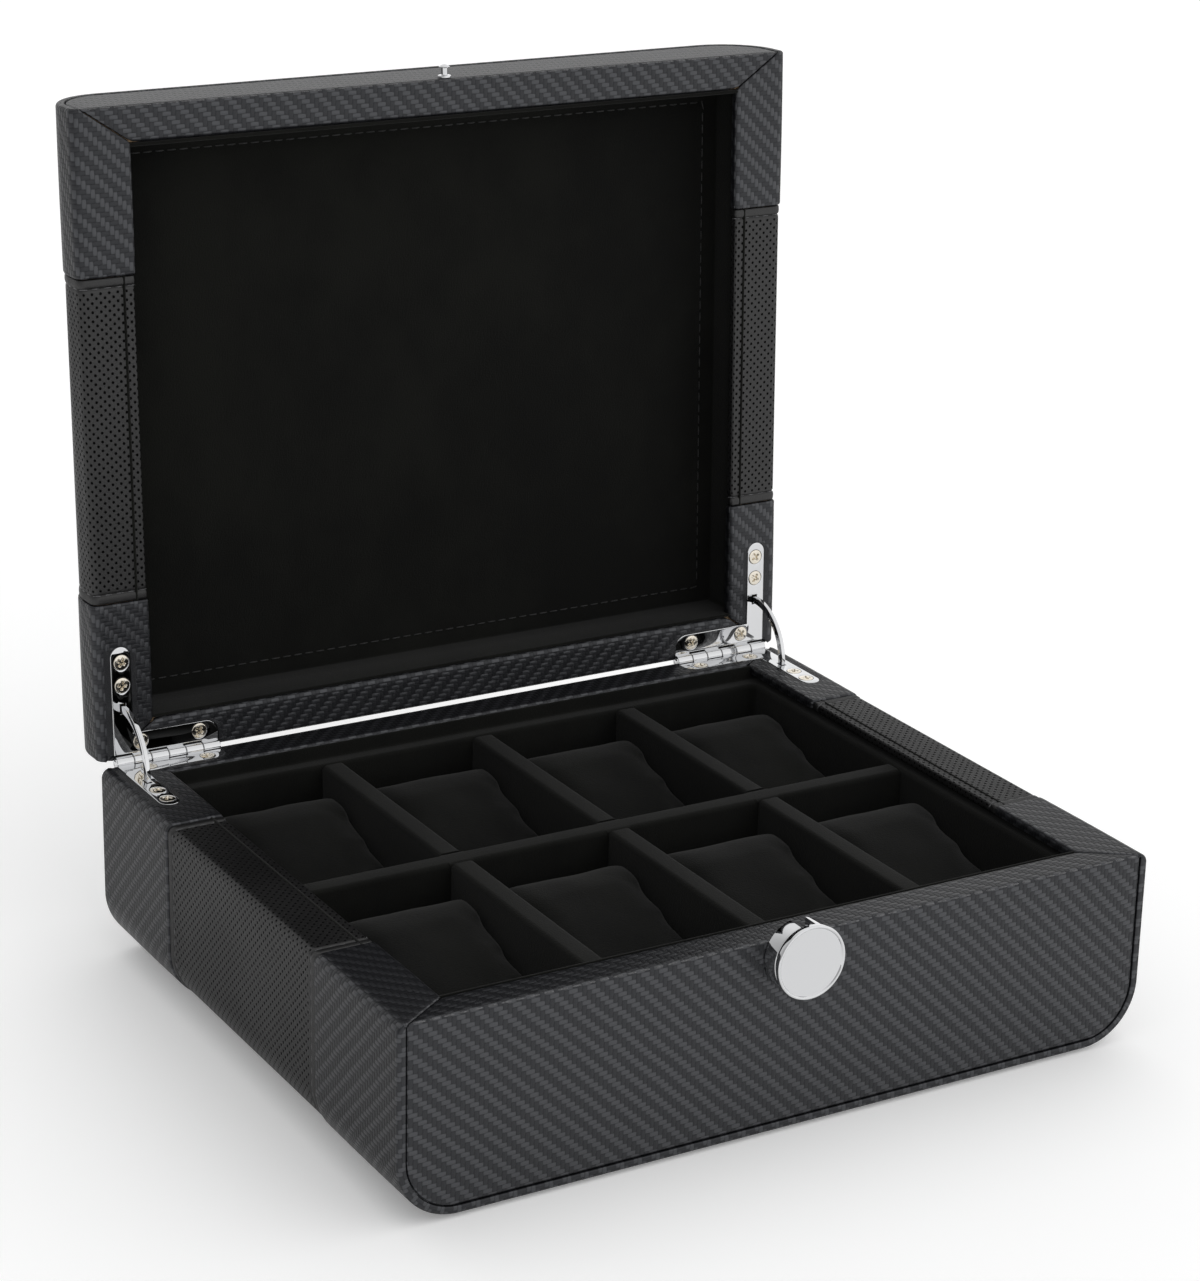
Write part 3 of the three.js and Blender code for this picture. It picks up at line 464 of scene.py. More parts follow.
# Twisted thread, lighter along its strands.
def threadMaterial(name, dark, light):
    material, wires, shader = newMaterial(name, Sheen_Weight=0.15, Specular_IOR_Level=0.4)
    here = placed(wires, "object")
    strands = wires.add("ShaderNodeTexNoise", {"Vector": here, "Scale": 1600.0, "Detail": 2.0})
    tone = wires.ranged(strands.outputs["Fac"], 0.35, 0.65, 0.0, 1.0)
    wires.put(shader.inputs["Base Color"], wires.mixed(tone, dark, light))
    wires.put(shader.inputs["Roughness"], wires.blended(tone, 0.35, 0.55))
    bumped(wires, shader, strands.outputs["Fac"], 0.0001, 0.6)
    return material


# Fibreboard: brown fibres in cloudy patches.
def boardMaterial():
    material, wires, shader = newMaterial("fibreboard", Specular_IOR_Level=0.25)
    here = placed(wires, "object")
    fibres = wires.add("ShaderNodeTexNoise", {
        "Vector": here, "Scale": 700.0, "Detail": 5.0, "Roughness": 0.7,
    })
    clouds = wires.add("ShaderNodeTexNoise", {"Vector": here, "Scale": 45.0, "Detail": 3.0})
    tone = wires.maths("MULTIPLY", fibres.outputs["Fac"], clouds.outputs["Fac"])
    mask = wires.ranged(tone, 0.12, 0.4, 0.0, 1.0)
    wires.put(shader.inputs["Base Color"], wires.mixed(mask, (0.16, 0.10, 0.055, 1), (0.40, 0.28, 0.17, 1)))
    wires.put(shader.inputs["Roughness"], wires.blended(mask, 0.9, 0.75))
    bumped(wires, shader, fibres.outputs["Fac"], 0.0002, 0.7)
    return material


# Black felt: tangled strands.
def feltMaterial():
    material, wires, shader = newMaterial("felt", Sheen_Weight=0.3, Specular_IOR_Level=0.1)
    here = placed(wires, "object")
    strands = wires.add("ShaderNodeTexNoise", {
        "Vector": here, "Scale": 900.0, "Detail": 6.0, "Distortion": 1.5,
    })
    mask = wires.ranged(strands.outputs["Fac"], 0.35, 0.65, 0.0, 1.0)
    tone = wires.mixed(mask, (0.006, 0.006, 0.007, 1), (0.022, 0.022, 0.024, 1))
    wires.put(shader.inputs["Base Color"], tone)
    wires.put(shader.inputs["Roughness"], wires.blended(mask, 0.95, 1.0))
    bumped(wires, shader, strands.outputs["Fac"], 0.0004, 0.8)
    return material


finishes = {
    "carbon_leather": carbonLeather(),
    "perforated_leather": perforatedLeather(),
    "suede": suede("liningSuede", (0.0029, 0.0030, 0.0025, 1), (0.0062, 0.0064, 0.0053, 1), 24.0),
    "cushion_suede": suede("cushionSuede", (0.0031, 0.0032, 0.0028, 1), (0.0062, 0.0064, 0.0055, 1), 34.0),
    "board": boardMaterial(),
    "felt": feltMaterial(),
    "chrome": polished("chrome", (0.64, 0.645, 0.655, 1), 0.03, 0.09),
    "screw_steel": polished("screwSteel", (0.72, 0.67, 0.58, 1), 0.12, 0.2),
    "spring_steel": polished("springSteel", (0.55, 0.56, 0.58, 1), 0.28, 0.4),
}
leatherThread = threadMaterial("leatherThread", (0.035, 0.035, 0.037, 1), (0.11, 0.11, 0.115, 1))
liningThread = threadMaterial("liningThread", (0.004, 0.004, 0.004, 1), (0.016, 0.016, 0.016, 1))
print("finishes made")


# Meshes. A surface is a grid of points, rows by columns; wrapped ways close on themselves.
def gridFaces(rows, columns, wrapRows=False, wrapColumns=False):
    i = np.arange(rows if wrapRows else rows - 1)[:, None]
    j = np.arange(columns if wrapColumns else columns - 1)[None, :]
    nextI, nextJ = (i + 1) % rows, (j + 1) % columns
    corners = (i * columns + j, nextI * columns + j, nextI * columns + nextJ, i * columns + nextJ)
    return np.stack([c.ravel() for c in np.broadcast_arrays(*corners)], 1)


# A mesh from points in mm and faces with equally many corners. place opens the lid's shapes.
def meshFrom(name, points, faces, cloth=None, place=asDrawn, weld=True):
    matrix = np.array(place)
    co = points.reshape(-1, 3) * mm
    co = co @ matrix[:3, :3].T + matrix[:3, 3]
    mesh = bpy.data.meshes.new(name)
    mesh.vertices.add(len(co))
    mesh.vertices.foreach_set("co", co.astype(np.float32).ravel())
    mesh.loops.add(faces.size)
    mesh.loops.foreach_set("vertex_index", faces.astype(np.int32).ravel())
    mesh.polygons.add(len(faces))
    mesh.polygons.foreach_set("loop_start", np.arange(0, faces.size, faces.shape[1], dtype=np.int32))
    mesh.update(calc_edges=True)
    if cloth is not None:
        attribute = mesh.attributes.new("cloth", "FLOAT_VECTOR", "POINT")
        attribute.data.foreach_set("vector", cloth.reshape(-1, 3).astype(np.float32).ravel())
    if weld:
        weldMesh(mesh)
    return mesh


# Joins corners that fall together and turns all faces outwards.
def weldMesh(mesh, distance=4e-6):
    work = bmesh.new()
    work.from_mesh(mesh)
    bmesh.ops.remove_doubles(work, verts=work.verts, dist=distance)
    bmesh.ops.dissolve_degenerate(work, edges=work.edges, dist=1e-7)
    bmesh.ops.recalc_face_normals(work, faces=work.faces)
    work.to_mesh(mesh)
    work.free()


# A grid closed into a solid: columns wrap, and the first and last rows shrink to their middles.
def closedGrid(points, cloth=None):
    def middleOf(row):
        return np.broadcast_to(row.mean(1, keepdims=True), row.shape)

    def capped(values):
        return np.concatenate([middleOf(values[:1]), values, middleOf(values[-1:])])

    whole = capped(points)
    faces = gridFaces(*whole.shape[:2], wrapColumns=True)
    return whole, faces, None if cloth is None else capped(cloth)


# Several (points, faces) as one.
def joinGrids(parts):
    points, faces, offset = [], [], 0
    for part, partFaces in parts:
        flat = part.reshape(-1, 3)
        points.append(flat)
        faces.append(partFaces + offset)
        offset += len(flat)
    return np.concatenate(points), np.concatenate(faces)


# A visible piece that rides on a body, in a finish, in place of the plain nodes.
def addPiece(name, mesh, body, slot, nodes=(), material=None, smoothAngle=40):
    mesh.name = name
    piece = bpy.data.objects.new(name, mesh)
    bpy.context.scene.collection.objects.link(piece)
    mesh.materials.clear()
    mesh.materials.append(material or finishes[slot])
    mesh.shade_smooth()
    mesh.set_sharp_from_angle(angle=math.radians(smoothAngle))
    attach(piece, body)
    if nodes:
        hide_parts(*nodes)
    return piece


# Turns a piece's modifiers into its mesh.
def applied(piece):
    bpy.context.view_layer.update()
    finished = bpy.data.meshes.new_from_object(piece.evaluated_get(bpy.context.evaluated_depsgraph_get()))
    piece.modifiers.clear()
    piece.data = finished
    return piece


# Points and inward normals of a bend, a circle arc in a plane, and of a straight run.
def bend(centre, radius, start, end, count):
    angle = np.linspace(start, end, count)
    way = np.stack([np.cos(angle), np.sin(angle)], 1)
    return np.asarray(centre) + radius * way, -way


def straight(start, end, normal, count):
    share = np.linspace(0, 1, count)[:, None]
    points = (1 - share) * np.asarray(start, float) + share * np.asarray(end, float)
    return points, np.tile(normal, (count, 1)).astype(float)


# One half's section as (x, depth from the rim) from the right inner edge, over the rim, round the
# outside and the far face, to the left inner edge. It also gives the inward normal, the length
# along the section, the matching point on the panel's frame, and a weight that is 0 on the rim.
def sectionPath(height):
    halfWidth, inner, corner = shell["halfWidth"], shell["innerX"], shell["corner"]
    rimRound, innerRound, band = shell["rimEdge"], shell["innerEdge"], shell["edgeBand"]
    runs = [
        straight((inner, shell["turnIn"]), (inner, innerRound), (1, 0), 3),
        bend((inner + innerRound, innerRound), innerRound, math.pi, 1.5 * math.pi, 7),
        straight((inner + innerRound, 0), (halfWidth - rimRound, 0), (0, 1), 8),
        bend((halfWidth - rimRound, rimRound), rimRound, -quarterTurn, 0, 10),
        straight((halfWidth, rimRound), (halfWidth, height - corner), (-1, 0), 8 if height < 40 else 14),
        bend((halfWidth - corner, height - corner), corner, 0, quarterTurn, 22),
        straight((halfWidth - corner, height), (0, height), (0, -1), 16),
    ]
    onRim = [1, 1, 1, 0, 0, 0, 0]
    points = np.concatenate([run[0][:-1] for run in runs] + [runs[-1][0][-1:]])
    normals = np.concatenate([run[1][:-1] for run in runs] + [runs[-1][1][-1:]])
    rimFlag = np.concatenate([np.full(len(run[0]) - 1, flag) for run, flag in zip(runs, onRim)] + [[0]])
    x, depth = points.T
    cornerX, cornerDepth = halfWidth - corner, height - corner
    fromCorner = points - (cornerX, cornerDepth)
    inCorner = (x > cornerX) & (depth > cornerDepth)
    frameSide = np.stack([np.minimum(x, halfWidth - band), depth], 1)
    frameCorner = (cornerX, cornerDepth) + fromCorner * (corner - band) / corner
    frameFar = np.stack([x, np.full_like(x, height - band)], 1)
    lip = np.where(inCorner[:, None], frameCorner, np.where((x <= cornerX)[:, None], frameFar, frameSide))
    lip = np.where(rimFlag[:, None] > 0, points, lip)
    outside = np.where(rimFlag > 0, 0.0, np.clip((x - (halfWidth - rimRound)) / rimRound, 0, 1))
    outside = np.where((depth > rimRound) & (rimFlag == 0), 1.0, outside)
    left = slice(-2, None, -1)
    mirror = np.array([-1.0, 1.0])
    points = np.concatenate([points, points[left] * mirror])
    normals = np.concatenate([normals, normals[left] * mirror])
    lip = np.concatenate([lip, lip[left] * mirror])
    outside = np.concatenate([outside, outside[left]])
    length = np.concatenate([[0], np.cumsum(np.linalg.norm(np.diff(points, axis=0), axis=1))])
    return points, normals, length, lip, outside


# From depth below a half's rim to height.
def toSpace(half, x, y, depth):
    return np.stack(np.broadcast_arrays(x, y, half["rim"] + half["down"] * depth), -1)


# Where the front end or the back end of the box lies along Y, and how thick its wall is.
def endOf(side):
    if side < 0:
        return shell["frontY"], shell["frontWall"]
    return shell["backY"], shell["backWall"]


sleeve = {
    "seamRoll": 0.9, "faceRoll": 1.2, "mitreRoll": 0.7, "run": 22, "swell": 0.12, "tuck": 2.4,
    "seamGap": 0.15, "underGap": 0.4,
}


# Leather over one end of a half: the section carried along Y, rolled under at the seam with the
# middle band and round onto the panel's frame at the end; on the rim it stops at the mitre.
def endSleeve(half, side):
    section, normal, length, lip, outside = sectionPath(half["height"])
    endY, wall = endOf(side)
    seam = abs(endY) - shell["seamY"] - sleeve["seamGap"]
    outerX = shell["halfWidth"] - shell["edgeBand"]
    x = np.abs(section[:, 0])
    mitre = np.clip((outerX - x) / (outerX - shell["innerX"]), 0, 1) * wall
    start = np.where((outside > 0) | (section[:, 1] > shell["turnIn"] + 0.1), 0.0, mitre)[:, None]
    roll = (sleeve["mitreRoll"] + (sleeve["faceRoll"] - sleeve["mitreRoll"]) * outside)[:, None]
    seamRoll, depthIn = sleeve["seamRoll"], shell["leather"]
    turn = np.linspace(0, quarterTurn, 6)
    run = np.linspace(0, 1, sleeve["run"])[1:-1]
    one = np.ones_like(start)
    # Distances from the end face (e) and in from the surface (n), column by column.
    e = [seam * one, seam - seamRoll + seamRoll * np.cos(turn) * one]
    n = [depthIn * one, (seamRoll - seamRoll * np.sin(turn)) * one]
    e.append((seam - seamRoll) * (1 - run) + (start + roll) * run)
    n.append(-sleeve["swell"] * np.sin(math.pi * run) * one)
    e.append(start + roll - roll * np.sin(turn))
    n.append(roll - roll * np.cos(turn))
    e, n = np.concatenate(e, 1), np.concatenate(n, 1)
    outer = section[:, None, :] + normal[:, None, :] * n[:, :, None]
    shoulder = section + normal * roll
    flat = outside[:, None] > 0.02
    target = np.where(flat, lip, section + normal * depthIn)
    share = np.array([0.4, 0.8, 0.95, 1.0, 1.0])
    sink = np.array([0.0, 0.0, 0.12, 0.45, 1.2, 1.25])
    onFace = shoulder[:, None, :] + (target - shoulder)[:, None, :] * share[None, :, None]
    tucked = target + np.where(flat, lip - section, 0) * sleeve["tuck"] / shell["edgeBand"]
    onFace = np.concatenate([onFace, tucked[:, None, :]], 1)
    faceE = start + sink[None, :]
    under = (section + normal * depthIn)[:, None, :] * np.ones((1, 2, 1))
    underE = np.concatenate([start + depthIn, (seam - sleeve["underGap"]) * one], 1)
    points = np.concatenate([outer, onFace, under], 1)
    away = np.concatenate([e, faceE, underE], 1)
    reach = np.linalg.norm(onFace - section[:, None, :], axis=2)
    down = np.concatenate([n, reach, np.full_like(underE, depthIn)], 1)
    y = endY - side * away
    along = np.broadcast_to(length[:, None], y.shape)
    cloth = np.stack([along, half["twill"] * (y + side * down), 0 * y], -1)
    return closedGrid(toSpace(half, points[:, :, 0], y, points[:, :, 1]), cloth)


band = {
    "strip": 3.5, "groove": 0.45, "grooveWidth": 0.45, "stripLift": 0.22, "roll": 0.5, "seamGap": 0.05,
}


# Leather round the middle of a half, set in a little: the section carried along Y, with a groove
# inside the binding strip that runs beside each seam. Rows lie closest where it rolls and grooves.
def middleSleeve(half):
    section, normal, length = sectionPath(half["height"])[:3]
    edge = shell["seamY"] - band["seamGap"]
    near = np.array([0, 0.06, 0.2, 0.5, 1.0, 1.7, 2.4, 2.9,
                     3.15, 3.3, 3.42, 3.5, 3.58, 3.7, 3.85, 4.2, 5, 8])
    y = np.concatenate([-edge + near, np.linspace(-edge + 12, edge - 12, 22), (edge - near)[::-1]])
    inFromEdge = edge - np.abs(y)
    rolled = np.maximum(band["roll"] - inFromEdge, 0)
    sink = band["roll"] - np.sqrt(np.maximum(band["roll"] ** 2 - rolled ** 2, 0))
    groove = band["groove"] * np.exp(-((inFromEdge - band["strip"]) / band["grooveWidth"]) ** 2)
    lift = band["stripLift"] * np.sin(math.pi * np.clip(inFromEdge / band["strip"], 0, 1))
    depth = shell["middleStep"] + sink + groove - lift
    depth = np.concatenate([depth, np.full(3, shell["leather"] + 0.1)])
    y = np.concatenate([y, [edge, 0, -edge]])
    punched = np.concatenate([np.clip((inFromEdge - band["strip"] - 0.9) / 0.3, 0, 1), [0, 0, 0]])
    points = section[:, None, :] + normal[:, None, :] * depth[None, :, None]
    y = np.broadcast_to(y, points.shape[:2])
    cloth = np.stack(np.broadcast_arrays(length[:, None], y, punched), -1)
    return closedGrid(toSpace(half, points[:, :, 0], y, points[:, :, 1]), cloth)


panel = {
    "edgeRoll": 0.6, "foldRoll": 1.3, "backFold": 1.25, "pad": 0.25, "plump": 0.42, "thickness": 1.1,
}


# The inset front or back panel: a profile that comes up the inner edge, over the rim, down the
# face and stops at its frame, as wide at each place as the mitre, the sides or the round corners
# allow. Its border rolls inwards like a quarter circle.
def framedPanel(half, side):
    endY, wall = endOf(side)
    inset = shell["edgeBand"] + shell["panelGap"]
    outerX, innerX = shell["halfWidth"] - inset, shell["innerX"] - shell["panelGap"]
    innerRound, corner = shell["innerEdge"], shell["corner"]
    fold = panel["foldRoll"] if side < 0 else panel["backFold"]
    cornerX, cornerDepth = shell["halfWidth"] - corner, half["height"] - corner
    radius = corner - inset
    angle = np.linspace(0, quarterTurn, 18)[1:]
    runs = [
        straight((wall, shell["turnIn"]), (wall, innerRound), (-1, 0), 3),
        bend((wall - innerRound, innerRound), innerRound, 0, -quarterTurn, 6),
        straight((wall - innerRound, 0), (fold, 0), (0, 1), 8),
        bend((fold, fold), fold, -quarterTurn, -math.pi, 7),
        straight((0, fold), (0, cornerDepth), (1, 0), max(4, int(cornerDepth / 4))),
    ]
    profile = np.concatenate([run[0][:-1] for run in runs] + [runs[-1][0][-1:]])
    normal = np.concatenate([run[1][:-1] for run in runs] + [runs[-1][1][-1:]])
    lowest = np.stack([np.zeros_like(angle), cornerDepth + radius * np.sin(angle)], 1)
    profile = np.concatenate([profile, lowest])
    normal = np.concatenate([normal, np.tile((1.0, 0.0), (len(angle), 1))])
    e, depth = profile.T
    width = np.where(depth > cornerDepth, 0.0, outerX - (outerX - innerX) * np.clip(e / wall, 0, 1))
    width[-len(angle):] = cornerX + radius * np.cos(angle)
    travelled = np.concatenate([[0], np.cumsum(np.linalg.norm(np.diff(profile, axis=0), axis=1))])
    near = np.array([0, 0.04, 0.12, 0.26, 0.42, 0.6, 1.2, 2.4, 5.0])
    share = np.linspace(-1, 1, 57)
    core = (width - 9)[:, None] * share[None, :]
    left = -width[:, None] + near[None, :]
    x = np.concatenate([left, core, -left[:, ::-1]], 1)
    toSide = width[:, None] - np.abs(x)
    toEnd = (travelled[-1] - travelled)[:, None]
    toEdge = np.minimum(toSide, toEnd)
    r = panel["edgeRoll"]
    lost = np.maximum(r - toEdge, 0)
    sink = r - np.sqrt(np.maximum(r ** 2 - lost ** 2, 0)) + panel["pad"] * np.exp(-toEdge / 2.5)
    if side > 0:
        nearRim = np.exp(-(travelled[:, None] - wall) ** 2 / 900)
        sink = sink - panel["plump"] * (1 - np.exp(-toEdge / 3.0)) * nearRim
    thickness = panel["thickness"]

    def sheet(offset):
        place = profile[:, None, :] + normal[:, None, :] * offset[:, :, None]
        return toSpace(half, x, endY - side * place[:, :, 0], place[:, :, 1])

    outer, inner = sheet(sink), sheet(np.maximum(sink + 0.1, thickness) + 0 * x)
    points = np.concatenate([outer, inner[:, ::-1]], 1)
    middle = (outer + inner) / 2
    folded = np.concatenate([middle, middle[:, ::-1]], 1)
    points = np.concatenate([folded[:1], points, folded[-1:]])
    along = np.broadcast_to(travelled[:, None], x.shape)
    cloth = np.stack([along, -half["twill"] * x, 0 * x], -1)
    cloth = np.concatenate([cloth, cloth[:, ::-1]], 1)
    cloth = np.concatenate([cloth[:1], cloth, cloth[-1:]])
    return points, gridFaces(*points.shape[:2], wrapColumns=True), cloth


# Outline of a rectangle with round corners as a loop, for whole arrays of half sizes and radii.
def roundedLoops(halfX, halfY, radius, sideCount=14, cornerCount=7):
    halfX, halfY, radius = (np.asarray(v, float)[:, None] for v in (halfX, halfY, radius))
    radius = np.minimum(radius, np.minimum(halfX, halfY))
    loops = []
    for index in range(4):
        turnFrom = index * quarterTurn
        angle = turnFrom + np.linspace(0, quarterTurn, cornerCount)[None, :]
        signX, signY = ((1, 1), (-1, 1), (-1, -1), (1, -1))[index]
        cx, cy = signX * (halfX - radius), signY * (halfY - radius)
        arc = np.stack([cx + radius * np.cos(angle), cy + radius * np.sin(angle)], -1)
        nextX, nextY = ((-1, 1), (-1, -1), (1, -1), (1, 1))[index]
        endAngle = turnFrom + quarterTurn
        end = np.stack([nextX * (halfX - radius) + radius * math.cos(endAngle),
                        nextY * (halfY - radius) + radius * math.sin(endAngle)], -1)
        share = np.linspace(0, 1, sideCount + 2)[None, 1:-1, None]
        side = arc[:, -1:, :] * (1 - share) + end * share
        loops.append(np.concatenate([arc, side], 1))
    return np.concatenate(loops, 1)


# A lined tray: a closed profile of (inset, height) carried round a rounded rectangle, closed by
# shrinking its first and last loops to the middle. The padding rises and falls in slow waves.
def tray(low, high, profile, cornerAt, waviness):
    centre = (low[:2] + high[:2]) / 2
    sizes = (high[:2] - low[:2]) / 2
    inset, z = np.asarray(profile, float).T
    radius = np.interp(inset, *cornerAt)
    loops = roundedLoops(sizes[0] - inset, sizes[1] - inset, radius)
    x, y = loops[:, :, 0] + centre[0], loops[:, :, 1] + centre[1]
    wave = waviness * (np.sin(x / 17.0 + 0.6) * np.sin(y / 13.0 + 1.1) + 0.5 * np.sin((x + y) / 7.0))
    points = np.stack([x, y, z[:, None] + wave * (inset > 1.5)[:, None]], -1)
    return closedGrid(points)[:2]


for halfName, half in halves.items():
    place = half["place"]
    for endName, side in (("front", -1), ("rear", 1)):
        points, faces, cloth = endSleeve(half, side)
        mesh = meshFrom("sleeve", points, faces, cloth, place)
        addPiece(f"{halfName}Sleeve{endName.title()}", mesh, halfName, "carbon_leather",
                 [f"{halfName}_wrap_{endName}"])
    points, faces, cloth = middleSleeve(half)
    mesh = meshFrom("middle", points, faces, cloth, place)
    addPiece(f"{halfName}SleeveMiddle", mesh, halfName, "perforated_leather",
             [f"{halfName}_wrap_middle"])
    for endName, side in (("front", -1), ("back", 1)):
        points, faces, cloth = framedPanel(half, side)
        mesh = meshFrom("panel", points, faces, cloth, place)
        addPiece(f"{halfName}Panel{endName.title()}", mesh, halfName, "carbon_leather",
                 [f"{halfName}_{endName}_panel"])
print("leather covers made")


# Cuts closed cutter meshes out of a piece.
def carved(piece, cutters):
    for index, cutter in enumerate(cutters):
        tool = bpy.data.objects.new(f"cutter{index}", cutter)
        bpy.context.scene.collection.objects.link(tool)
        modifier = piece.modifiers.new("cut", "BOOLEAN")
        modifier.operation, modifier.solver, modifier.object = "DIFFERENCE", "EXACT", tool
        applied(piece)
        bpy.data.objects.remove(tool)
    return piece


# A plain block between two corners.
def blockMesh(low, high, place=asDrawn):
    x0, y0, z0 = low
    x1, y1, z1 = high
    points = np.array([[x, y, z] for x in (x0, x1) for y in (y0, y1) for z in (z0, z1)], float)
    faces = np.array([[0, 1, 3, 2], [4, 6, 7, 5], [0, 4, 5, 1], [2, 3, 7, 6], [0, 2, 6, 4], [1, 5, 7, 3]])
    return meshFrom("block", points, faces, None, place)


# A profile of (radius, height) turned round an axis; frameOf places (across, up, along) in space.
# A ring's profile closes on itself; any other is closed at its two ends.
def turned(profile, sides, frameOf, ring=False):
    radius, height = np.asarray(profile, float).T
    angle = np.linspace(0, 2 * math.pi, sides, endpoint=False)
    across, up = radius[:, None] * np.cos(angle), radius[:, None] * np.sin(angle)
    points = frameOf(across, up, np.broadcast_to(height[:, None], across.shape))
    if ring:
        return points, gridFaces(*points.shape[:2], wrapRows=True, wrapColumns=True)
    return closedGrid(points)[:2]


# Turning axes: along X at a height, and straight out of the front wall.
def alongX(y, z):
    return lambda across, up, along: np.stack([along, y + across, z + up], -1)


def outOfFront(y, x, z):
    return lambda across, up, along: np.stack([x + across, y - along, z + up], -1)


# Points of an arc in a profile, from one angle in degrees to another.
def roundProfile(corner, radius, start, end, count=5):
    angle = np.radians(np.linspace(start, end, count))
    return [(corner[0] + radius * math.cos(a), corner[1] + radius * math.sin(a)) for a in angle]


crossLow, crossHigh = cadBox("divider_cross")
cushionLow, cushionHigh = cadBox("cushion_front_1")
lidLiningLow, lidLiningHigh = cadBox("lid_lining", openLid)
lining = {
    "cloth": 1.2, "stepRound": 1.6, "fillet": 0.9, "fit": 0.3,
    "ledge": liningHigh[0] - crossHigh[0] - 0.3, "lidFloor": 1.5, "stitchInset": 7.2, "wave": 0.07,
}


# The base lining: a thin lip at the rim, the ledge on top of the padded walls, the walls, the floor.
def baseLining():
    floor, step, top = cushionLow[2] - lining["fit"], crossHigh[2], liningHigh[2]
    cloth, r, ledge, f = lining["cloth"], lining["stepRound"], lining["ledge"], lining["fillet"]
    profile = [(0, liningLow[2]), (0, top - 0.6)]
    profile += roundProfile((cloth / 2, top - 0.6), cloth / 2, 180, 0, 7)
    profile += [(cloth, step + f * 1.2)] + roundProfile((cloth + f, step + f), f, 180, 270, 5)
    profile += [(cloth + 2.5, step), (ledge - r - 0.6, step)]
    profile += roundProfile((ledge - r, step - r), r, 90, 0, 7)
    profile += [(ledge, step - 12), (ledge, floor + 14), (ledge, floor + f)]
    profile += roundProfile((ledge + f, floor + f), f, 180, 270, 5)
    profile += [(ledge + 6, floor), (ledge + 30, floor)]
    cornerAt = ([0, cloth, ledge, 40], [0.8, 1.6, 3.0, 2.0])
    points, faces = tray(liningLow, liningHigh, profile, cornerAt, lining["wave"])
    addPiece("baseLining", meshFrom("lining", points, faces), "base", "suede", ["base_lining"])


# The lid lining: a lip, the walls and a padded ceiling with a raised welt where it is stitched.
def lidLining():
    cloth, f = lining["cloth"], lining["fillet"]
    back, rim = lidLiningHigh[2], lidLiningLow[2]
    ceiling = back - lining["lidFloor"]
    seam = lining["stitchInset"]
    profile = [(0, back), (0, rim + 0.6)]
    profile += roundProfile((cloth / 2, rim + 0.6), cloth / 2, 180, 360, 7)
    profile += [(cloth, ceiling - 9), (cloth, ceiling - f)]
    profile += roundProfile((cloth + f, ceiling - f), f, 180, 90, 5)
    profile += [(seam - 1.2, ceiling - 0.05), (seam - 0.4, ceiling + 0.2), (seam, ceiling + 0.32),
                (seam + 0.4, ceiling + 0.2), (seam + 1.2, ceiling - 0.1), (seam + 4, ceiling - 0.35),
                (seam + 14, ceiling - 0.6), (seam + 45, ceiling - 0.75)]
    cornerAt = ([0, cloth, 60], [0.8, 1.8, 2.0])
    points, faces = tray(lidLiningLow, lidLiningHigh, profile, cornerAt, lining["wave"])
    mesh = meshFrom("lining", points, faces, None, openLid)
    addPiece("lidLining", mesh, "lid", "suede", ["lid_lining"])
    return ceiling


baseLining()
lidCeiling = lidLining()
print("linings made")


divider = {
    "topRound": 2.0, "slotFit": 0.3, "fullness": 0.12, "rowPitch": 6, "shareKept": 0.494, "wave": 0.10,
}


# A padded divider: a round-topped section carried along a line. Where a board crosses, the
# section is squeezed to its lower or upper half.
def dividerBoard(low, high, lengthAxis, crossings, keepLower):
    acrossAxis = 1 - lengthAxis
    half = (high[acrossAxis] - low[acrossAxis]) / 2
    centre = (high[acrossAxis] + low[acrossAxis]) / 2
    bottom, top, r = low[2], high[2], divider["topRound"]
    height = np.linspace(bottom, top - r, 9)
    bulge = divider["fullness"] * np.sin(math.pi * (height - bottom) / (top - bottom))
    arc = np.array(roundProfile((half - r, top - r), r, 0, 90, 7))[1:]
    right = np.concatenate([np.stack([half + bulge - divider["fullness"], height], 1), arc])
    loop = np.concatenate([right, (right * (-1, 1))[::-1]])
    stops = [low[lengthAxis], high[lengthAxis]]
    reach = half + divider["slotFit"]
    edges = sorted(crossing + side for crossing in crossings for side in (-reach, reach))
    place, squeezed, inside = [], [], False
    bounds = [stops[0]] + edges + [stops[1]]
    for start, end in zip(bounds[:-1], bounds[1:]):
        rows = max(3, int((end - start) / divider["rowPitch"]))
        place += list(np.linspace(start, end, rows))
        squeezed += [inside] * rows
        inside = not inside
    place, squeezed = np.array(place), np.array(squeezed)
    share = np.where(squeezed, divider["shareKept"], 1.0)[:, None]
    c, h = loop[:, 0][None, :], loop[:, 1][None, :]
    h = bottom + (h - bottom) * share if keepLower else top - (top - h) * share
    c = c + 0 * share
    c = c + divider["wave"] * np.sin(place[:, None] / 9.0 + h / 11.0) * (np.abs(c) > half - 0.5)
    coordinates = [None, None, h]
    coordinates[lengthAxis] = np.broadcast_to(place[:, None], c.shape)
    coordinates[acrossAxis] = centre + np.clip(c, -half, half)
    points, faces = closedGrid(np.stack(coordinates, -1))[:2]
    return meshFrom("divider", points, faces)


crossY = (crossLow[1] + crossHigh[1]) / 2
dividerXs = []
for index in (1, 2, 3):
    low, high = cadBox(f"divider_long_{index}")
    dividerXs.append((low[0] + high[0]) / 2)
    mesh = dividerBoard(low, high, 1, [crossY], True)
    addPiece(f"dividerLong{index}", mesh, "base", "suede", [f"divider_long_{index}"])
mesh = dividerBoard(crossLow, crossHigh, 0, dividerXs, False)
addPiece("dividerCross", mesh, "base", "suede", ["divider_cross"])
print("dividers made")


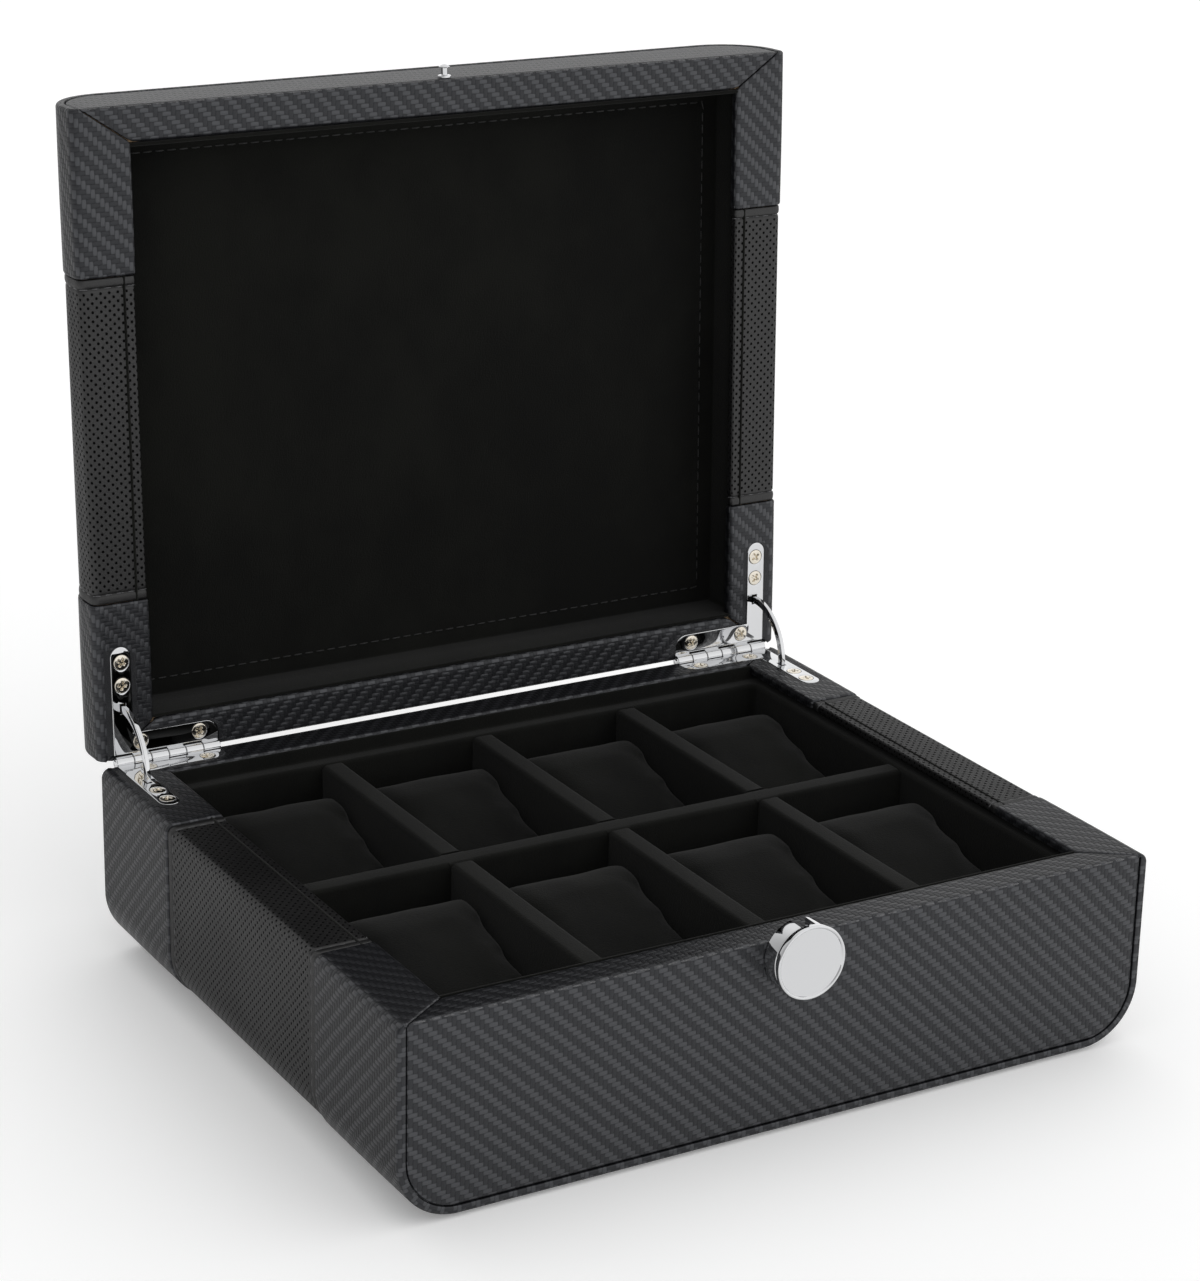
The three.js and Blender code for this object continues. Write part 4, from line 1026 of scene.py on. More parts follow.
cushion = {
    "voxel": 0.004, "shrink": (1.0, 0.985, 0.985), "rounding": 1, "pressure": 4.0, "frames": 20,
    "cap": 0.0014, "spare": (0.0009, 0.0009, 0.0012), "stretch": (0.9, 0.9, 2.0),
    "creaseDepth": 0.16, "fill": 0.75,
}


# One cushion, blown up by a cloth simulation inside a cap, then stretched to its full size, which is
# the plain cushion's size and a little more.
def simulatedCushion():
    source = frame["nodes"]["cushion_front_1"].data.copy()
    weldMesh(source, 1e-5)
    piece = bpy.data.objects.new("cushionForm", source)
    bpy.context.scene.collection.objects.link(piece)
    low, high = Vector(cushionLow * mm), Vector(cushionHigh * mm)
    middle = (low + high) / 2
    source.transform(Matrix.Translation(-middle))
    source.transform(Matrix.Diagonal((*cushion["shrink"], 1)))
    remesh = piece.modifiers.new("even", "REMESH")
    remesh.mode, remesh.voxel_size = "VOXEL", cushion["voxel"]
    smooth = piece.modifiers.new("soften", "SMOOTH")
    smooth.factor, smooth.iterations = 0.5, cushion["rounding"]
    applied(piece)
    start = np.array([v.co for v in piece.data.vertices])
    cloth = piece.modifiers.new("cloth", "CLOTH")
    cloth.settings.use_pressure = True
    cloth.settings.uniform_pressure_force = cushion["pressure"]
    cloth.settings.effector_weights.gravity = 0
    cloth.point_cache.frame_start, cloth.point_cache.frame_end = 1, cushion["frames"]
    for step in range(1, cushion["frames"] + 1):
        bpy.context.scene.frame_set(step)
    applied(piece)
    bpy.context.scene.frame_set(1)
    moved = np.array([v.co for v in piece.data.vertices])
    shift = moved - start
    size = np.linalg.norm(shift, axis=1, keepdims=True)
    moved = start + shift * np.minimum(1, cushion["cap"] / np.maximum(size, 1e-9))
    limit = np.array((high - low) / 2) + np.array(cushion["spare"])
    moved = np.clip(moved, -limit, limit)
    moved[:, 2] = np.maximum(moved[:, 2], -(high.z - low.z) / 2)
    full = np.array(high - low) / 2 + np.array(cushion["stretch"]) * mm
    moved = moved - (moved.max(0) + moved.min(0)) / 2
    moved = moved * full / np.abs(moved).max(0)
    piece.data.vertices.foreach_set("co", moved.astype(np.float32).ravel())
    finer = piece.modifiers.new("finer", "SUBSURF")
    finer.levels = finer.render_levels = 1
    applied(piece)
    points = np.array([v.co for v in piece.data.vertices])
    normals = np.array([v.normal for v in piece.data.vertices])
    form = piece.data
    bpy.data.objects.remove(piece)
    return form, points, normals


cushionForm, cushionPoints, cushionNormals = simulatedCushion()


# Each cushion is the same form with its own shallow creases, made of a few slow waves.
def addCushion(row, column):
    node = f"cushion_{row}_{column}"
    low, high = cadBox(node)
    seed = column + (4 if row == "back" else 0)
    x, y, z = (cushionPoints / mm).T
    waves = (np.sin(x / 5.1 + y / 9.0 + 1.7 * seed) * np.sin(y / 6.3 - z / 8.0 + 0.9 * seed)
             + 0.6 * np.sin(x / 3.1 - z / 4.4 + 2.3 * seed) * np.sin(y / 11.0 + seed))
    points = cushionPoints / mm + cushionNormals * (cushion["creaseDepth"] * (waves - 0.6))[:, None]
    points = points + (low + high) / 2
    points[:, 2] = np.maximum(points[:, 2] + cushion["stretch"][2], low[2])
    mesh = cushionForm.copy()
    mesh.vertices.foreach_set("co", (points * mm).astype(np.float32).ravel())
    mesh.update()
    piece = addPiece(f"cushion{row.title()}{column}", mesh, node, "cushion_suede", [node], smoothAngle=180)


for row in ("front", "back"):
    for column in (1, 2, 3, 4):
        addCushion(row, column)
print("cushions made")


felt = {"edge": 0.25, "corner": 6.0, "flat": 8.0}


# The felt under the base: a thin sheet with round corners and a soft edge.
def feltPad():
    low, high = cadBox("base_felt")
    top, edge = high[2], felt["edge"]
    inset = np.array([felt["flat"], edge, 0, 0, edge, felt["flat"]])
    z = np.array([0, 0, edge, top - edge, top, top])
    sizes = (high[:2] - low[:2]) / 2
    loops = roundedLoops(sizes[0] - inset, sizes[1] - inset, np.maximum(felt["corner"] - inset, 2))
    loops = np.concatenate([loops, np.broadcast_to(z[:, None, None], loops.shape[:2] + (1,))], -1)
    points, faces = closedGrid(loops)[:2]
    addPiece("baseFelt", meshFrom("felt", points, faces), "base", "felt", ["base_felt"])


feltPad()
print("felt made")


hinge = {
    "innerX": 98.2, "outerX": 139.0, "sideWidth": 7.6, "tipY": 75.2, "stripY": 108.4, "corner": 5.0,
    "proud": 0.2, "thickness": 1.5, "chamfer": 0.28, "knuckle": 2.4, "knuckles": 6, "relief": 0.4,
    "knuckleGap": 0.08, "knuckleChamfer": 0.22, "notchFit": 0.25, "screwFit": 0.12, "pin": 1.2,
    "pinFit": 0.1, "pinDome": 0.3, "armX": 134.9, "armInner": 18.8, "armOuter": 21.6, "armThick": 1.6,
    "armPast": 20.0, "armHead": 8.0, "armHeadGrowth": 0.8, "armHeadSlope": 0.3, "armEase": 0.22,
    "armRadius": 20.0, "armEndRound": 0.8, "gap": 0.3, "slotEnds": 0.5,
    "mortiseFit": 0.15, "barrelFit": 0.3,
}
hingeY, hingeZ = hingeAt.y / mm, hingeAt.z / mm
sideSigns = {"left": -1, "right": 1}
screwPlaces = ("side_front", "side_rear", "back_inner", "back_outer")
screwBoxes = {node: cadBox(node, openLid if "_lid_" in node else asDrawn)
              for node in frame["nodes"] if node.startswith("screw_")}


# Points of an arc or, without the closing point, of a whole circle.
def arcPoints(x, y, radius, start, end, count, closing=True):
    return [(x + radius * math.cos(a), y + radius * math.sin(a))
            for a in np.linspace(start, end, count, endpoint=closing)]


# Outline of a leaf in plan, on the right: a strip with a round tip forwards along the side wall
# and a strip with a round corner inwards along the back wall.
def leafOutline(grow):
    sideX = hinge["outerX"] - hinge["sideWidth"]
    tipR, corner = hinge["sideWidth"] / 2, hinge["corner"]
    outline = [(hinge["outerX"] + grow, hingeY)]
    outline += arcPoints((sideX + hinge["outerX"]) / 2, hinge["tipY"] + tipR, tipR + grow, 0, -math.pi, 21)
    outline += [(sideX - grow, hinge["stripY"] - grow)]
    outline += arcPoints(hinge["innerX"] + corner, hinge["stripY"] + corner, corner + grow,
                         -quarterTurn, -math.pi, 13)
    return outline + [(hinge["innerX"] - grow, hingeY)]


# Where the base leaf (parity 1) or the lid leaf (parity 0) has its knuckles, from inside to outside.
def knuckleSpans(parity):
    length = (hinge["outerX"] - hinge["innerX"]) / hinge["knuckles"]
    gap = hinge["knuckleGap"]
    return [(hinge["innerX"] + i * length + gap, hinge["innerX"] + (i + 1) * length - gap)
            for i in range(hinge["knuckles"]) if i % 2 == parity]


# A leaf's back edge, notched wherever the other leaf has a knuckle.
def notchedEdge(parity):
    inner = hingeY - hinge["knuckle"] - hinge["relief"]
    edge = []
    for start, end in knuckleSpans(1 - parity):
        start = max(start - hinge["notchFit"], hinge["innerX"])
        end = min(end + hinge["notchFit"], hinge["outerX"])
        edge += [(start, hingeY), (start, inner), (end, inner), (end, hingeY)]
    return edge


# A flat plate from an outline and its holes, with small chamfers, standing on z = 0.
def plateMesh(outline, holes, thickness, chamfer):
    curve = bpy.data.curves.new("plate", "CURVE")
    curve.dimensions, curve.fill_mode = "2D", "BOTH"
    curve.extrude = (thickness / 2 - chamfer) * mm
    curve.bevel_depth, curve.offset, curve.bevel_resolution = chamfer * mm, -chamfer * mm, 2
    for ring in [outline] + holes:
        spline = curve.splines.new("POLY")
        spline.points.add(len(ring) - 1)
        flat = np.zeros((len(ring), 4))
        flat[:, :2] = np.asarray(ring) * mm
        flat[:, 3] = 1
        spline.points.foreach_set("co", flat.astype(np.float32).ravel())
        spline.use_cyclic_u = True
    holder = bpy.data.objects.new("plate", curve)
    bpy.context.scene.collection.objects.link(holder)
    bpy.context.view_layer.update()
    mesh = bpy.data.meshes.new_from_object(holder.evaluated_get(bpy.context.evaluated_depsgraph_get()))
    bpy.data.objects.remove(holder)
    mesh.transform(Matrix.Translation((0, 0, thickness / 2 * mm)))
    weldMesh(mesh, 1e-6)
    return mesh


# A mesh's points in mm and its triangles.
def meshArrays(mesh):
    mesh.calc_loop_triangles()
    points = np.zeros(len(mesh.vertices) * 3)
    mesh.vertices.foreach_get("co", points)
    triangles = np.zeros(len(mesh.loop_triangles) * 3, np.int32)
    mesh.loop_triangles.foreach_get("vertices", triangles)
    return points.reshape(-1, 3) / mm, triangles.reshape(-1, 3)


# The same form with each four-cornered face split in two.
def triangulated(part):
    points, faces = part
    flat = points.reshape(-1, 3)
    return flat, np.concatenate([faces[:, [0, 1, 2]], faces[:, [0, 2, 3]]])


# A leaf: its plate with four screw holes and the stay's slot, and its knuckles round the pin. A
# corner that a notch takes away is in both lists of points, so it is left out.
def hingeLeaf(halfName, sideName):
    half = halves[halfName]
    parity = 1 if halfName == "base" else 0
    outline = leafOutline(0) + notchedEdge(parity)
    outline = [point for point in outline if outline.count(point) == 1]
    holes = []
    for spot in screwPlaces:
        low, high = screwBoxes[f"screw_{halfName}_{sideName}_{spot}"]
        radius = (high[0] - low[0]) / 2 + hinge["screwFit"]
        holes.append(arcPoints(abs(low[0] + high[0]) / 2, (low[1] + high[1]) / 2, radius,
                               0, 2 * math.pi, 24, closing=False))
    slotX, slotHalf = hinge["armX"], hinge["armThick"] / 2 + hinge["gap"]
    slotFrom = hingeY - hinge["armOuter"] - hinge["slotEnds"]
    slotTo = hingeY - hinge["armInner"] + hinge["slotEnds"]
    holes.append([(slotX - slotHalf, slotFrom), (slotX + slotHalf, slotFrom),
                  (slotX + slotHalf, slotTo), (slotX - slotHalf, slotTo)])
    points, faces = meshArrays(plateMesh(outline, holes, hinge["thickness"], hinge["chamfer"]))
    if half["down"] < 0:
        points[:, 2] += half["rim"] - hinge["thickness"] + hinge["proud"]
    else:
        points[:, 2] += half["rim"] - hinge["proud"]
    parts = [(points, faces)]
    r, c, bore = hinge["knuckle"], hinge["knuckleChamfer"], hinge["pin"] + hinge["pinFit"]
    for start, end in knuckleSpans(parity):
        ring = [(bore, start), (r - c, start), (r, start + c), (r, end - c), (r - c, end), (bore, end)]
        parts.append(triangulated(turned(ring, 40, alongX(hingeY, hingeZ), ring=True)))
    points, faces = joinGrids(parts)
    points[:, 0] *= sideSigns[sideName]
    mesh = meshFrom("leaf", points, faces, None, half["place"])
    addPiece(f"hingeLeaf{halfName.title()}{sideName.title()}", mesh, halfName, "chrome",
             [f"hinge_leaf_{halfName}_{sideName}"], smoothAngle=25)


# The pin through all the knuckles, with domed ends.
def hingePin(sideName):
    r, dome, inner, outer = hinge["pin"], hinge["pinDome"], hinge["innerX"], hinge["outerX"]
    profile = [(0, inner), (r * 0.7, inner + 0.05), (r, inner + dome),
               (r, outer - dome), (r * 0.7, outer - 0.05), (0, outer)]
    points, faces = turned(profile, 24, alongX(hingeY, hingeZ))
    points = points * (sideSigns[sideName], 1, 1)
    addPiece(f"hingePin{sideName.title()}", meshFrom("pin", points, faces), "base", "chrome",
             [f"hinge_pin_{sideName}"], smoothAngle=35)


# A stay: a rectangle with eased edges carried along an arc round the hinge pin, taller at its ends.
def stayArm(sideName):
    start, end = -hinge["armPast"], math.degrees(openAngle) + hinge["armPast"]
    head, headSlope, endRound = hinge["armHead"], hinge["armHeadSlope"], hinge["armEndRound"]
    angle = np.unique(np.concatenate([
        np.linspace(start, end, 90),
        [start + head, start + head + headSlope, end - head, end - head - headSlope],
    ]))
    atEnd = (angle <= start + head + 1e-6) | (angle >= end - head - 1e-6)
    halfTall = (hinge["armOuter"] - hinge["armInner"]) / 2 + np.where(atEnd, hinge["armHeadGrowth"], 0.0)
    toEnd = np.minimum(angle - start, end - angle) * math.radians(1) * hinge["armRadius"]
    halfTall = halfTall - endRound * np.maximum(0, 1 - toEnd / endRound) ** 2
    ease, halfWide = hinge["armEase"], hinge["armThick"] / 2
    corners = []
    for index, (sx, sy) in enumerate(((1, 1), (-1, 1), (-1, -1), (1, -1))):
        for a in np.linspace(index * quarterTurn, (index + 1) * quarterTurn, 4):
            corners.append((sx * (halfWide - ease) + ease * math.cos(a), sy, ease * (math.sin(a) - sy)))
    wide, signTall, off = np.array(corners).T
    radius = (hinge["armInner"] + hinge["armOuter"]) / 2 + signTall * halfTall[:, None] + off
    turn = np.radians(angle)[:, None]
    x = np.broadcast_to(sideSigns[sideName] * hinge["armX"] + wide, radius.shape)
    points = np.stack([x, hingeY - radius * np.cos(turn), hingeZ + radius * np.sin(turn)], -1)
    points, faces = closedGrid(points)[:2]
    addPiece(f"stayArm{sideName.title()}", meshFrom("stay", points, faces), f"stay_{sideName}", "chrome",
             [f"stay_arm_{sideName}"], smoothAngle=35)


screw = {
    "head": 2.8, "dome": 0.28, "rim": 0.25, "recess": 0.95, "arm": 1.8, "slot": 0.4, "shank": 1.3,
    "length": 9.0, "neck": 1.5, "point": 2.5, "headRows": 20,
}


# A domed screw: a turned form with a cross sunk into its head. The crosses stand at several angles.
def screwPiece(node):
    halfName = "lid" if "_lid_" in node else "base"
    half = halves[halfName]
    low, high = screwBoxes[node]
    x0, y0 = (low[0] + high[0]) / 2, (low[1] + high[1]) / 2
    face = half["rim"] - half["down"] * hinge["proud"]
    head, shank, length = screw["head"], screw["shank"], screw["length"]
    share = np.linspace(0, 0.97, screw["headRows"])
    radius = np.concatenate([share * head, [head, head, shank, shank, shank * 0.4, 0]])
    height = np.concatenate([
        screw["dome"] * (1 - share ** 2),
        [-0.05, -screw["rim"], -screw["neck"], screw["point"] - length, -length, -length],
    ])
    angle = np.linspace(0, 2 * math.pi, 48, endpoint=False)
    u, v = radius[:, None] * np.cos(angle), radius[:, None] * np.sin(angle)

    def arm(across, along):
        inWidth = np.clip((screw["slot"] + 0.12 - np.abs(across)) / 0.24, 0, 1)
        return inWidth * np.clip((screw["arm"] - np.abs(along)) / 0.5, 0, 1)

    onHead = (np.arange(len(radius)) < screw["headRows"])[:, None]
    z = height[:, None] - screw["recess"] * np.maximum(arm(u, v), arm(v, u)) * onHead
    angle = angle + 0.4 * len(node)
    x, y = x0 + radius[:, None] * np.cos(angle), y0 + radius[:, None] * np.sin(angle)
    points, faces = closedGrid(np.stack([x, y, face - half["down"] * z], -1))[:2]
    mesh = meshFrom("screw", points, faces, None, half["place"])
    addPiece(node.title().replace("_", "").replace("Screw", "screw"), mesh, halfName, "screw_steel", [node])


for sideName in sideSigns:
    for halfName in halves:
        hingeLeaf(halfName, sideName)
    hingePin(sideName)
    stayArm(sideName)
for node in screwBoxes:
    screwPiece(node)
print("hinges made")


# A prism between two heights from an outline in plan.
def prismMesh(outline, bottom, top):
    count = len(outline)
    work = bmesh.new()
    corners = [work.verts.new((x * mm, y * mm, z * mm)) for z in (bottom, top) for x, y in outline]
    work.faces.new(corners[:count])
    work.faces.new(corners[count:])
    for i in range(count):
        k = (i + 1) % count
        work.faces.new((corners[i], corners[k], corners[count + k], corners[count + i]))
    bmesh.ops.recalc_face_normals(work, faces=work.faces)
    mesh = bpy.data.meshes.new("prism")
    work.to_mesh(mesh)
    work.free()
    return mesh


# Mortises for a leaf, its barrel and its stay in the rear covers.
def hingeCutters(half, sign):
    out = -half["down"]
    outline = [(x * sign, y) for x, y in leafOutline(hinge["mortiseFit"])]
    bottom = half["rim"] - out * (hinge["thickness"] + 0.3)
    mortise = prismMesh(outline, bottom, half["rim"] + out * 2.0)
    mortise.transform(half["place"])
    r, inner, outer = hinge["knuckle"] + hinge["barrelFit"], hinge["innerX"] - 0.2, hinge["outerX"] + 0.2
    points, faces = turned([(0, inner), (r, inner), (r, outer), (0, outer)], 24, alongX(hingeY, hingeZ))
    barrel = meshFrom("barrel", points * (sign, 1, 1), faces, None, half["place"])
    x = sign * hinge["armX"]
    wide = hinge["armThick"] / 2 + 0.4
    slotFrom = hingeY - hinge["armOuter"] - hinge["slotEnds"]
    slotTo = hingeY - hinge["armInner"] + hinge["slotEnds"]
    z = sorted((half["rim"] - out * 4, half["rim"] + out * 2))
    slot = blockMesh((x - wide, slotFrom, z[0]), (x + wide, slotTo, z[1]), half["place"])
    return [mortise, barrel, slot]


for halfName, half in halves.items():
    for pieceName in (f"{halfName}SleeveRear", f"{halfName}PanelBack"):
        for sign in (-1, 1):
            carved(bpy.data.objects[pieceName], hingeCutters(half, sign))
print("mortises cut")


caseLow, caseHigh = cadBox("latch_case")
buttonLow, buttonHigh = cadBox("latch_button")
latch = {
    "z": (buttonLow[2] + buttonHigh[2]) / 2, "foot": shell["frontY"] - 0.3, "wall": 1.7, "back": 1.5,
    "ease": 0.45, "lipEase": 0.25, "case": (caseHigh[0] - caseLow[0]) / 2, "stem": 5.0, "bore": 3.6,
    "stemLength": 11.5, "notchWide": 5.8, "notchDeep": 4.6,
}
button = {
    "radius": (buttonHigh[0] - buttonLow[0]) / 2, "thickness": 2.0, "rim": 1.1, "dish": 0.62,
    "bowl": 0.42, "bowlDrop": 0.28, "stalk": 1.5, "stalkLength": 11.5, "stalkEase": 0.3, "backEase": 0.4,
}
spring = {"wire": 0.3, "radius": 2.7, "turns": 6, "stepsPerTurn": 28, "travel": 1.25}
stud = {
    "head": 2.0, "collar": 2.4, "shank": 1.2, "dome": 2.62, "headThick": 1.35, "headEase": 0.25,
    "collarEase": 0.3,
}


# The case: a stem through the front wall and a cup round the button's back, with a notch on top.
def latchCase():
    r, wall, e = latch["case"], latch["wall"], latch["ease"]
    stem, length, back, lip = latch["stem"], latch["stemLength"], latch["back"], latch["lipEase"]
    foot, mouth = latch["foot"], caseLow[1]
    depth = foot - mouth
    profile = [(0, -length), (stem - e, -length), (stem, -length + e), (stem, 0), (r, 0)]
    profile += roundProfile((r - e, depth - e), e, 0, 90, 5)
    profile += roundProfile((r - wall + lip, depth - lip), lip, 90, 180, 4)
    profile += [(r - wall, back + 0.5), (r - wall - 0.5, back), (latch["bore"], back),
                (latch["bore"], back - length), (0, back - length)]
    points, faces = turned(profile, 96, outOfFront(foot, 0, latch["z"]))
    piece = addPiece("latchCase", meshFrom("case", points, faces), "base", "chrome", ["latch_case"],
                     smoothAngle=30)
    half, top = latch["notchWide"] / 2, latch["z"] + r
    notch = blockMesh((-half, mouth - 1, top - latch["notchDeep"]), (half, foot + 0.8, top + 1))
    carved(piece, [notch])
    piece.data.set_sharp_from_angle(angle=math.radians(30))


# The button: a stalk, and a round plate with a raised rim round a shallow bowl.
def latchButton():
    r, rim, thick = button["radius"], button["rim"], button["thickness"]
    stalk, length, ease = button["stalk"], button["stalkLength"], button["stalkEase"]
    back = button["backEase"]
    profile = [(0, -length), (stalk - ease, -length), (stalk, ease - length), (stalk, 0), (r - 0.5, 0)]
    profile += roundProfile((r - back, back), back, -60, 0, 4)
    profile += roundProfile((r - rim / 2, thick - rim / 2), rim / 2, 0, 150, 11)
    floor = thick - button["dish"] - button["bowlDrop"]
    profile += [(x, floor + button["bowl"] * (x / r) ** 2) for x in np.linspace(r - rim - 0.1, 0, 14)]
    points, faces = turned(profile, 128, outOfFront(buttonLow[1] + thick, 0, latch["z"]))
    addPiece("latchButton", meshFrom("button", points, faces), "button", "chrome", ["latch_button"],
             smoothAngle=35)


# The spring: a round wire carried along a helix, short by the button's travel so that it clears it.
def latchSpring():
    low, high = cadBox("latch_spring")
    wire = spring["wire"]
    t = np.linspace(0, 1, spring["turns"] * spring["stepsPerTurn"])[:, None]
    around = 2 * math.pi * spring["turns"] * t
    ring = np.linspace(0, 2 * math.pi, 10, endpoint=False)[None, :]
    radial = spring["radius"] + wire * np.cos(ring)
    first, last = high[1] - wire, low[1] + wire + spring["travel"]
    y = first + (last - first) * t + wire * np.sin(ring)
    points = np.stack([radial * np.cos(around), y, latch["z"] + radial * np.sin(around)], -1)
    points, faces = closedGrid(points)[:2]
    addPiece("latchSpring", meshFrom("spring", points, faces), "base", "spring_steel", ["latch_spring"],
             smoothAngle=60)


# The stud: a root in the lid's front wall, a collar against the leather, a neck and a domed head.
def lidStud():
    low, high = cadBox("lid_stud", openLid)
    foot = latch["foot"]
    root, length = foot - high[1], foot - low[1]
    head, collar, shank, dome = stud["head"], stud["collar"], stud["shank"], stud["dome"]
    under, ease = length - stud["headThick"], stud["headEase"]
    profile = [(0, root), (shank, root), (shank, 0), (collar, 0)]
    profile += roundProfile((collar - stud["collarEase"], 0.4), stud["collarEase"], 0, 90, 4)
    profile += [(shank + 0.2, 0.72), (shank, 1.0), (shank, under)]
    profile += roundProfile((head - ease, under + 0.4), ease, -90, 0, 4)
    profile += roundProfile((0, length - dome), dome, 40, 90, 8)
    points, faces = turned(profile, 48, outOfFront(foot, 0, (low[2] + high[2]) / 2))
    mesh = meshFrom("stud", points, faces, None, openLid)
    addPiece("lidStud", mesh, "lid", "chrome", ["lid_stud"], smoothAngle=35)


latchCase()
latchButton()
latchSpring()
lidStud()
print("latch made")


stitches = {
    "seam": {"pitch": 4.4, "length": 2.8, "radius": 0.22, "sunk": 0.12},
    "edge": {"pitch": 5.0, "length": 3.6, "radius": 0.26, "sunk": 0.04, "fromCorner": 2.5, "fromHinge": 3},
    "welt": {"pitch": 4.6, "length": 3.3, "radius": 0.24, "sunk": 0.05},
}


# Stitches: one small spindle, fuller in the middle, set down at every place of a row. along and
# up are unit vectors at each place.
def stitchRow(centres, along, up, kind):
    share = np.array([-1, -0.8, 0, 0.8, 1])
    fat = kind["radius"] * np.array([0.25, 0.8, 1.0, 0.8, 0.25])
    angle = np.linspace(0, 2 * math.pi, 6, endpoint=False)
    t = np.broadcast_to(share[:, None] * kind["length"] / 2, (5, 6))
    a, b = fat[:, None] * np.cos(angle), fat[:, None] * np.sin(angle)
    sag = 0.35 * kind["radius"] * share[:, None] ** 2
    template, faces = closedGrid(np.stack([t, a, b - sag], -1))[:2]
    flat = template.reshape(-1, 3)
    side = np.cross(up, along)
    points = (centres[:, None, :] + flat[None, :, :1] * along[:, None, :]
              + flat[None, :, 1:2] * side[:, None, :] + flat[None, :, 2:] * up[:, None, :])
    many = faces[None] + (np.arange(len(centres)) * len(flat))[:, None, None]
    return points.reshape(-1, 3), many.reshape(-1, 4)


# Places at an even pitch along a path: the points, the directions, and how far along each one is.
def atPitch(path, pitch):
    steps = np.linalg.norm(np.diff(path, axis=0), axis=1)
    length = np.concatenate([[0], np.cumsum(steps)])
    places = np.arange(pitch / 2, length[-1], pitch)

    def at(where):
        return np.stack([np.interp(where, length, path[:, k]) for k in range(3)], 1)

    along = at(places + 0.2) - at(places - 0.2)
    return at(places), along / np.linalg.norm(along, axis=1, keepdims=True), places, length


# Rows of stitches as one piece on the half that they are sewn to.
def addStitches(name, rows, body, place, slot, thread=leatherThread):
    points, faces = joinGrids(rows)
    mesh = meshFrom("stitches", points, faces, None, place)
    addPiece(name, mesh, body, slot, material=thread, smoothAngle=180)


# Two rows round a half, in the grooves of its middle band.
def seamStitches(halfName, half):
    kind, rows = stitches["seam"], []
    section, normal = sectionPath(half["height"])[:2]
    rimStart = shell["innerX"] + shell["innerEdge"] - 0.01
    keep = (section[:, 1] > 0.0) | (np.abs(section[:, 0]) > rimStart)
    normal = normal[keep]
    sewn = section[keep] + normal * (shell["middleStep"] + band["groove"] - kind["sunk"])
    for sign in (-1, 1):
        y = np.full(len(sewn), sign * (shell["seamY"] - band["strip"]))
        path = toSpace(half, sewn[:, 0], y, sewn[:, 1])
        centres, along, places, length = atPitch(path, kind["pitch"])
        up = np.stack([-np.interp(places, length, normal[:, 0]), 0 * places,
                       -half["down"] * np.interp(places, length, normal[:, 1])], 1)
        up /= np.linalg.norm(up, axis=1, keepdims=True)
        rows.append(stitchRow(centres, along, up, kind))
    addStitches(f"{halfName}SeamStitches", rows, halfName, half["place"], "perforated_leather")


# A row along the rim of each end panel, on its fold; at the back it stops for the hinges.
def edgeStitches(halfName, half):
    kind, rows = stitches["edge"], []
    for side, roll in ((-1, panel["foldRoll"]), (1, panel["backFold"])):
        fold = roll * (1 - math.sqrt(0.5)) - kind["sunk"]
        end = shell["halfWidth"] - shell["edgeBand"] - kind["fromCorner"]
        y, z = endOf(side)[0] - side * fold, half["rim"] + half["down"] * fold
        centres, along = atPitch(np.array([[-end, y, z], [end, y, z]]), kind["pitch"])[:2]
        if side > 0:
            clear = np.abs(centres[:, 0]) < hinge["innerX"] - kind["fromHinge"]
            clear |= np.abs(centres[:, 0]) > hinge["outerX"] + kind["fromHinge"]
            centres, along = centres[clear], along[clear]
        up = np.tile(np.array([0, side, -half["down"]]) / math.sqrt(2), (len(centres), 1))
        rows.append(stitchRow(centres, along, up, kind))
    addStitches(f"{halfName}EdgeStitches", rows, halfName, half["place"], "carbon_leather")


# One row on the welt round the lid's padded ceiling.
def weltStitches():
    kind = stitches["welt"]
    sizes = (lidLiningHigh[:2] - lidLiningLow[:2]) / 2 - lining["stitchInset"]
    loop = roundedLoops([sizes[0]], [sizes[1]], [1.5], 3, 4)[0]
    loop = np.concatenate([loop, loop[:1]]) + (lidLiningHigh[:2] + lidLiningLow[:2]) / 2
    path = np.column_stack([loop, np.full(len(loop), lidCeiling + kind["sunk"])])
    centres, along = atPitch(path, kind["pitch"])[:2]
    up = np.tile((0.0, 0.0, -1.0), (len(centres), 1))
    rows = [stitchRow(centres, along, up, kind)]
    addStitches("lidLiningStitches", rows, "lid", openLid, "suede", liningThread)


for halfName, half in halves.items():
    seamStitches(halfName, half)
    edgeStitches(halfName, half)
weltStitches()
print("stitches made")


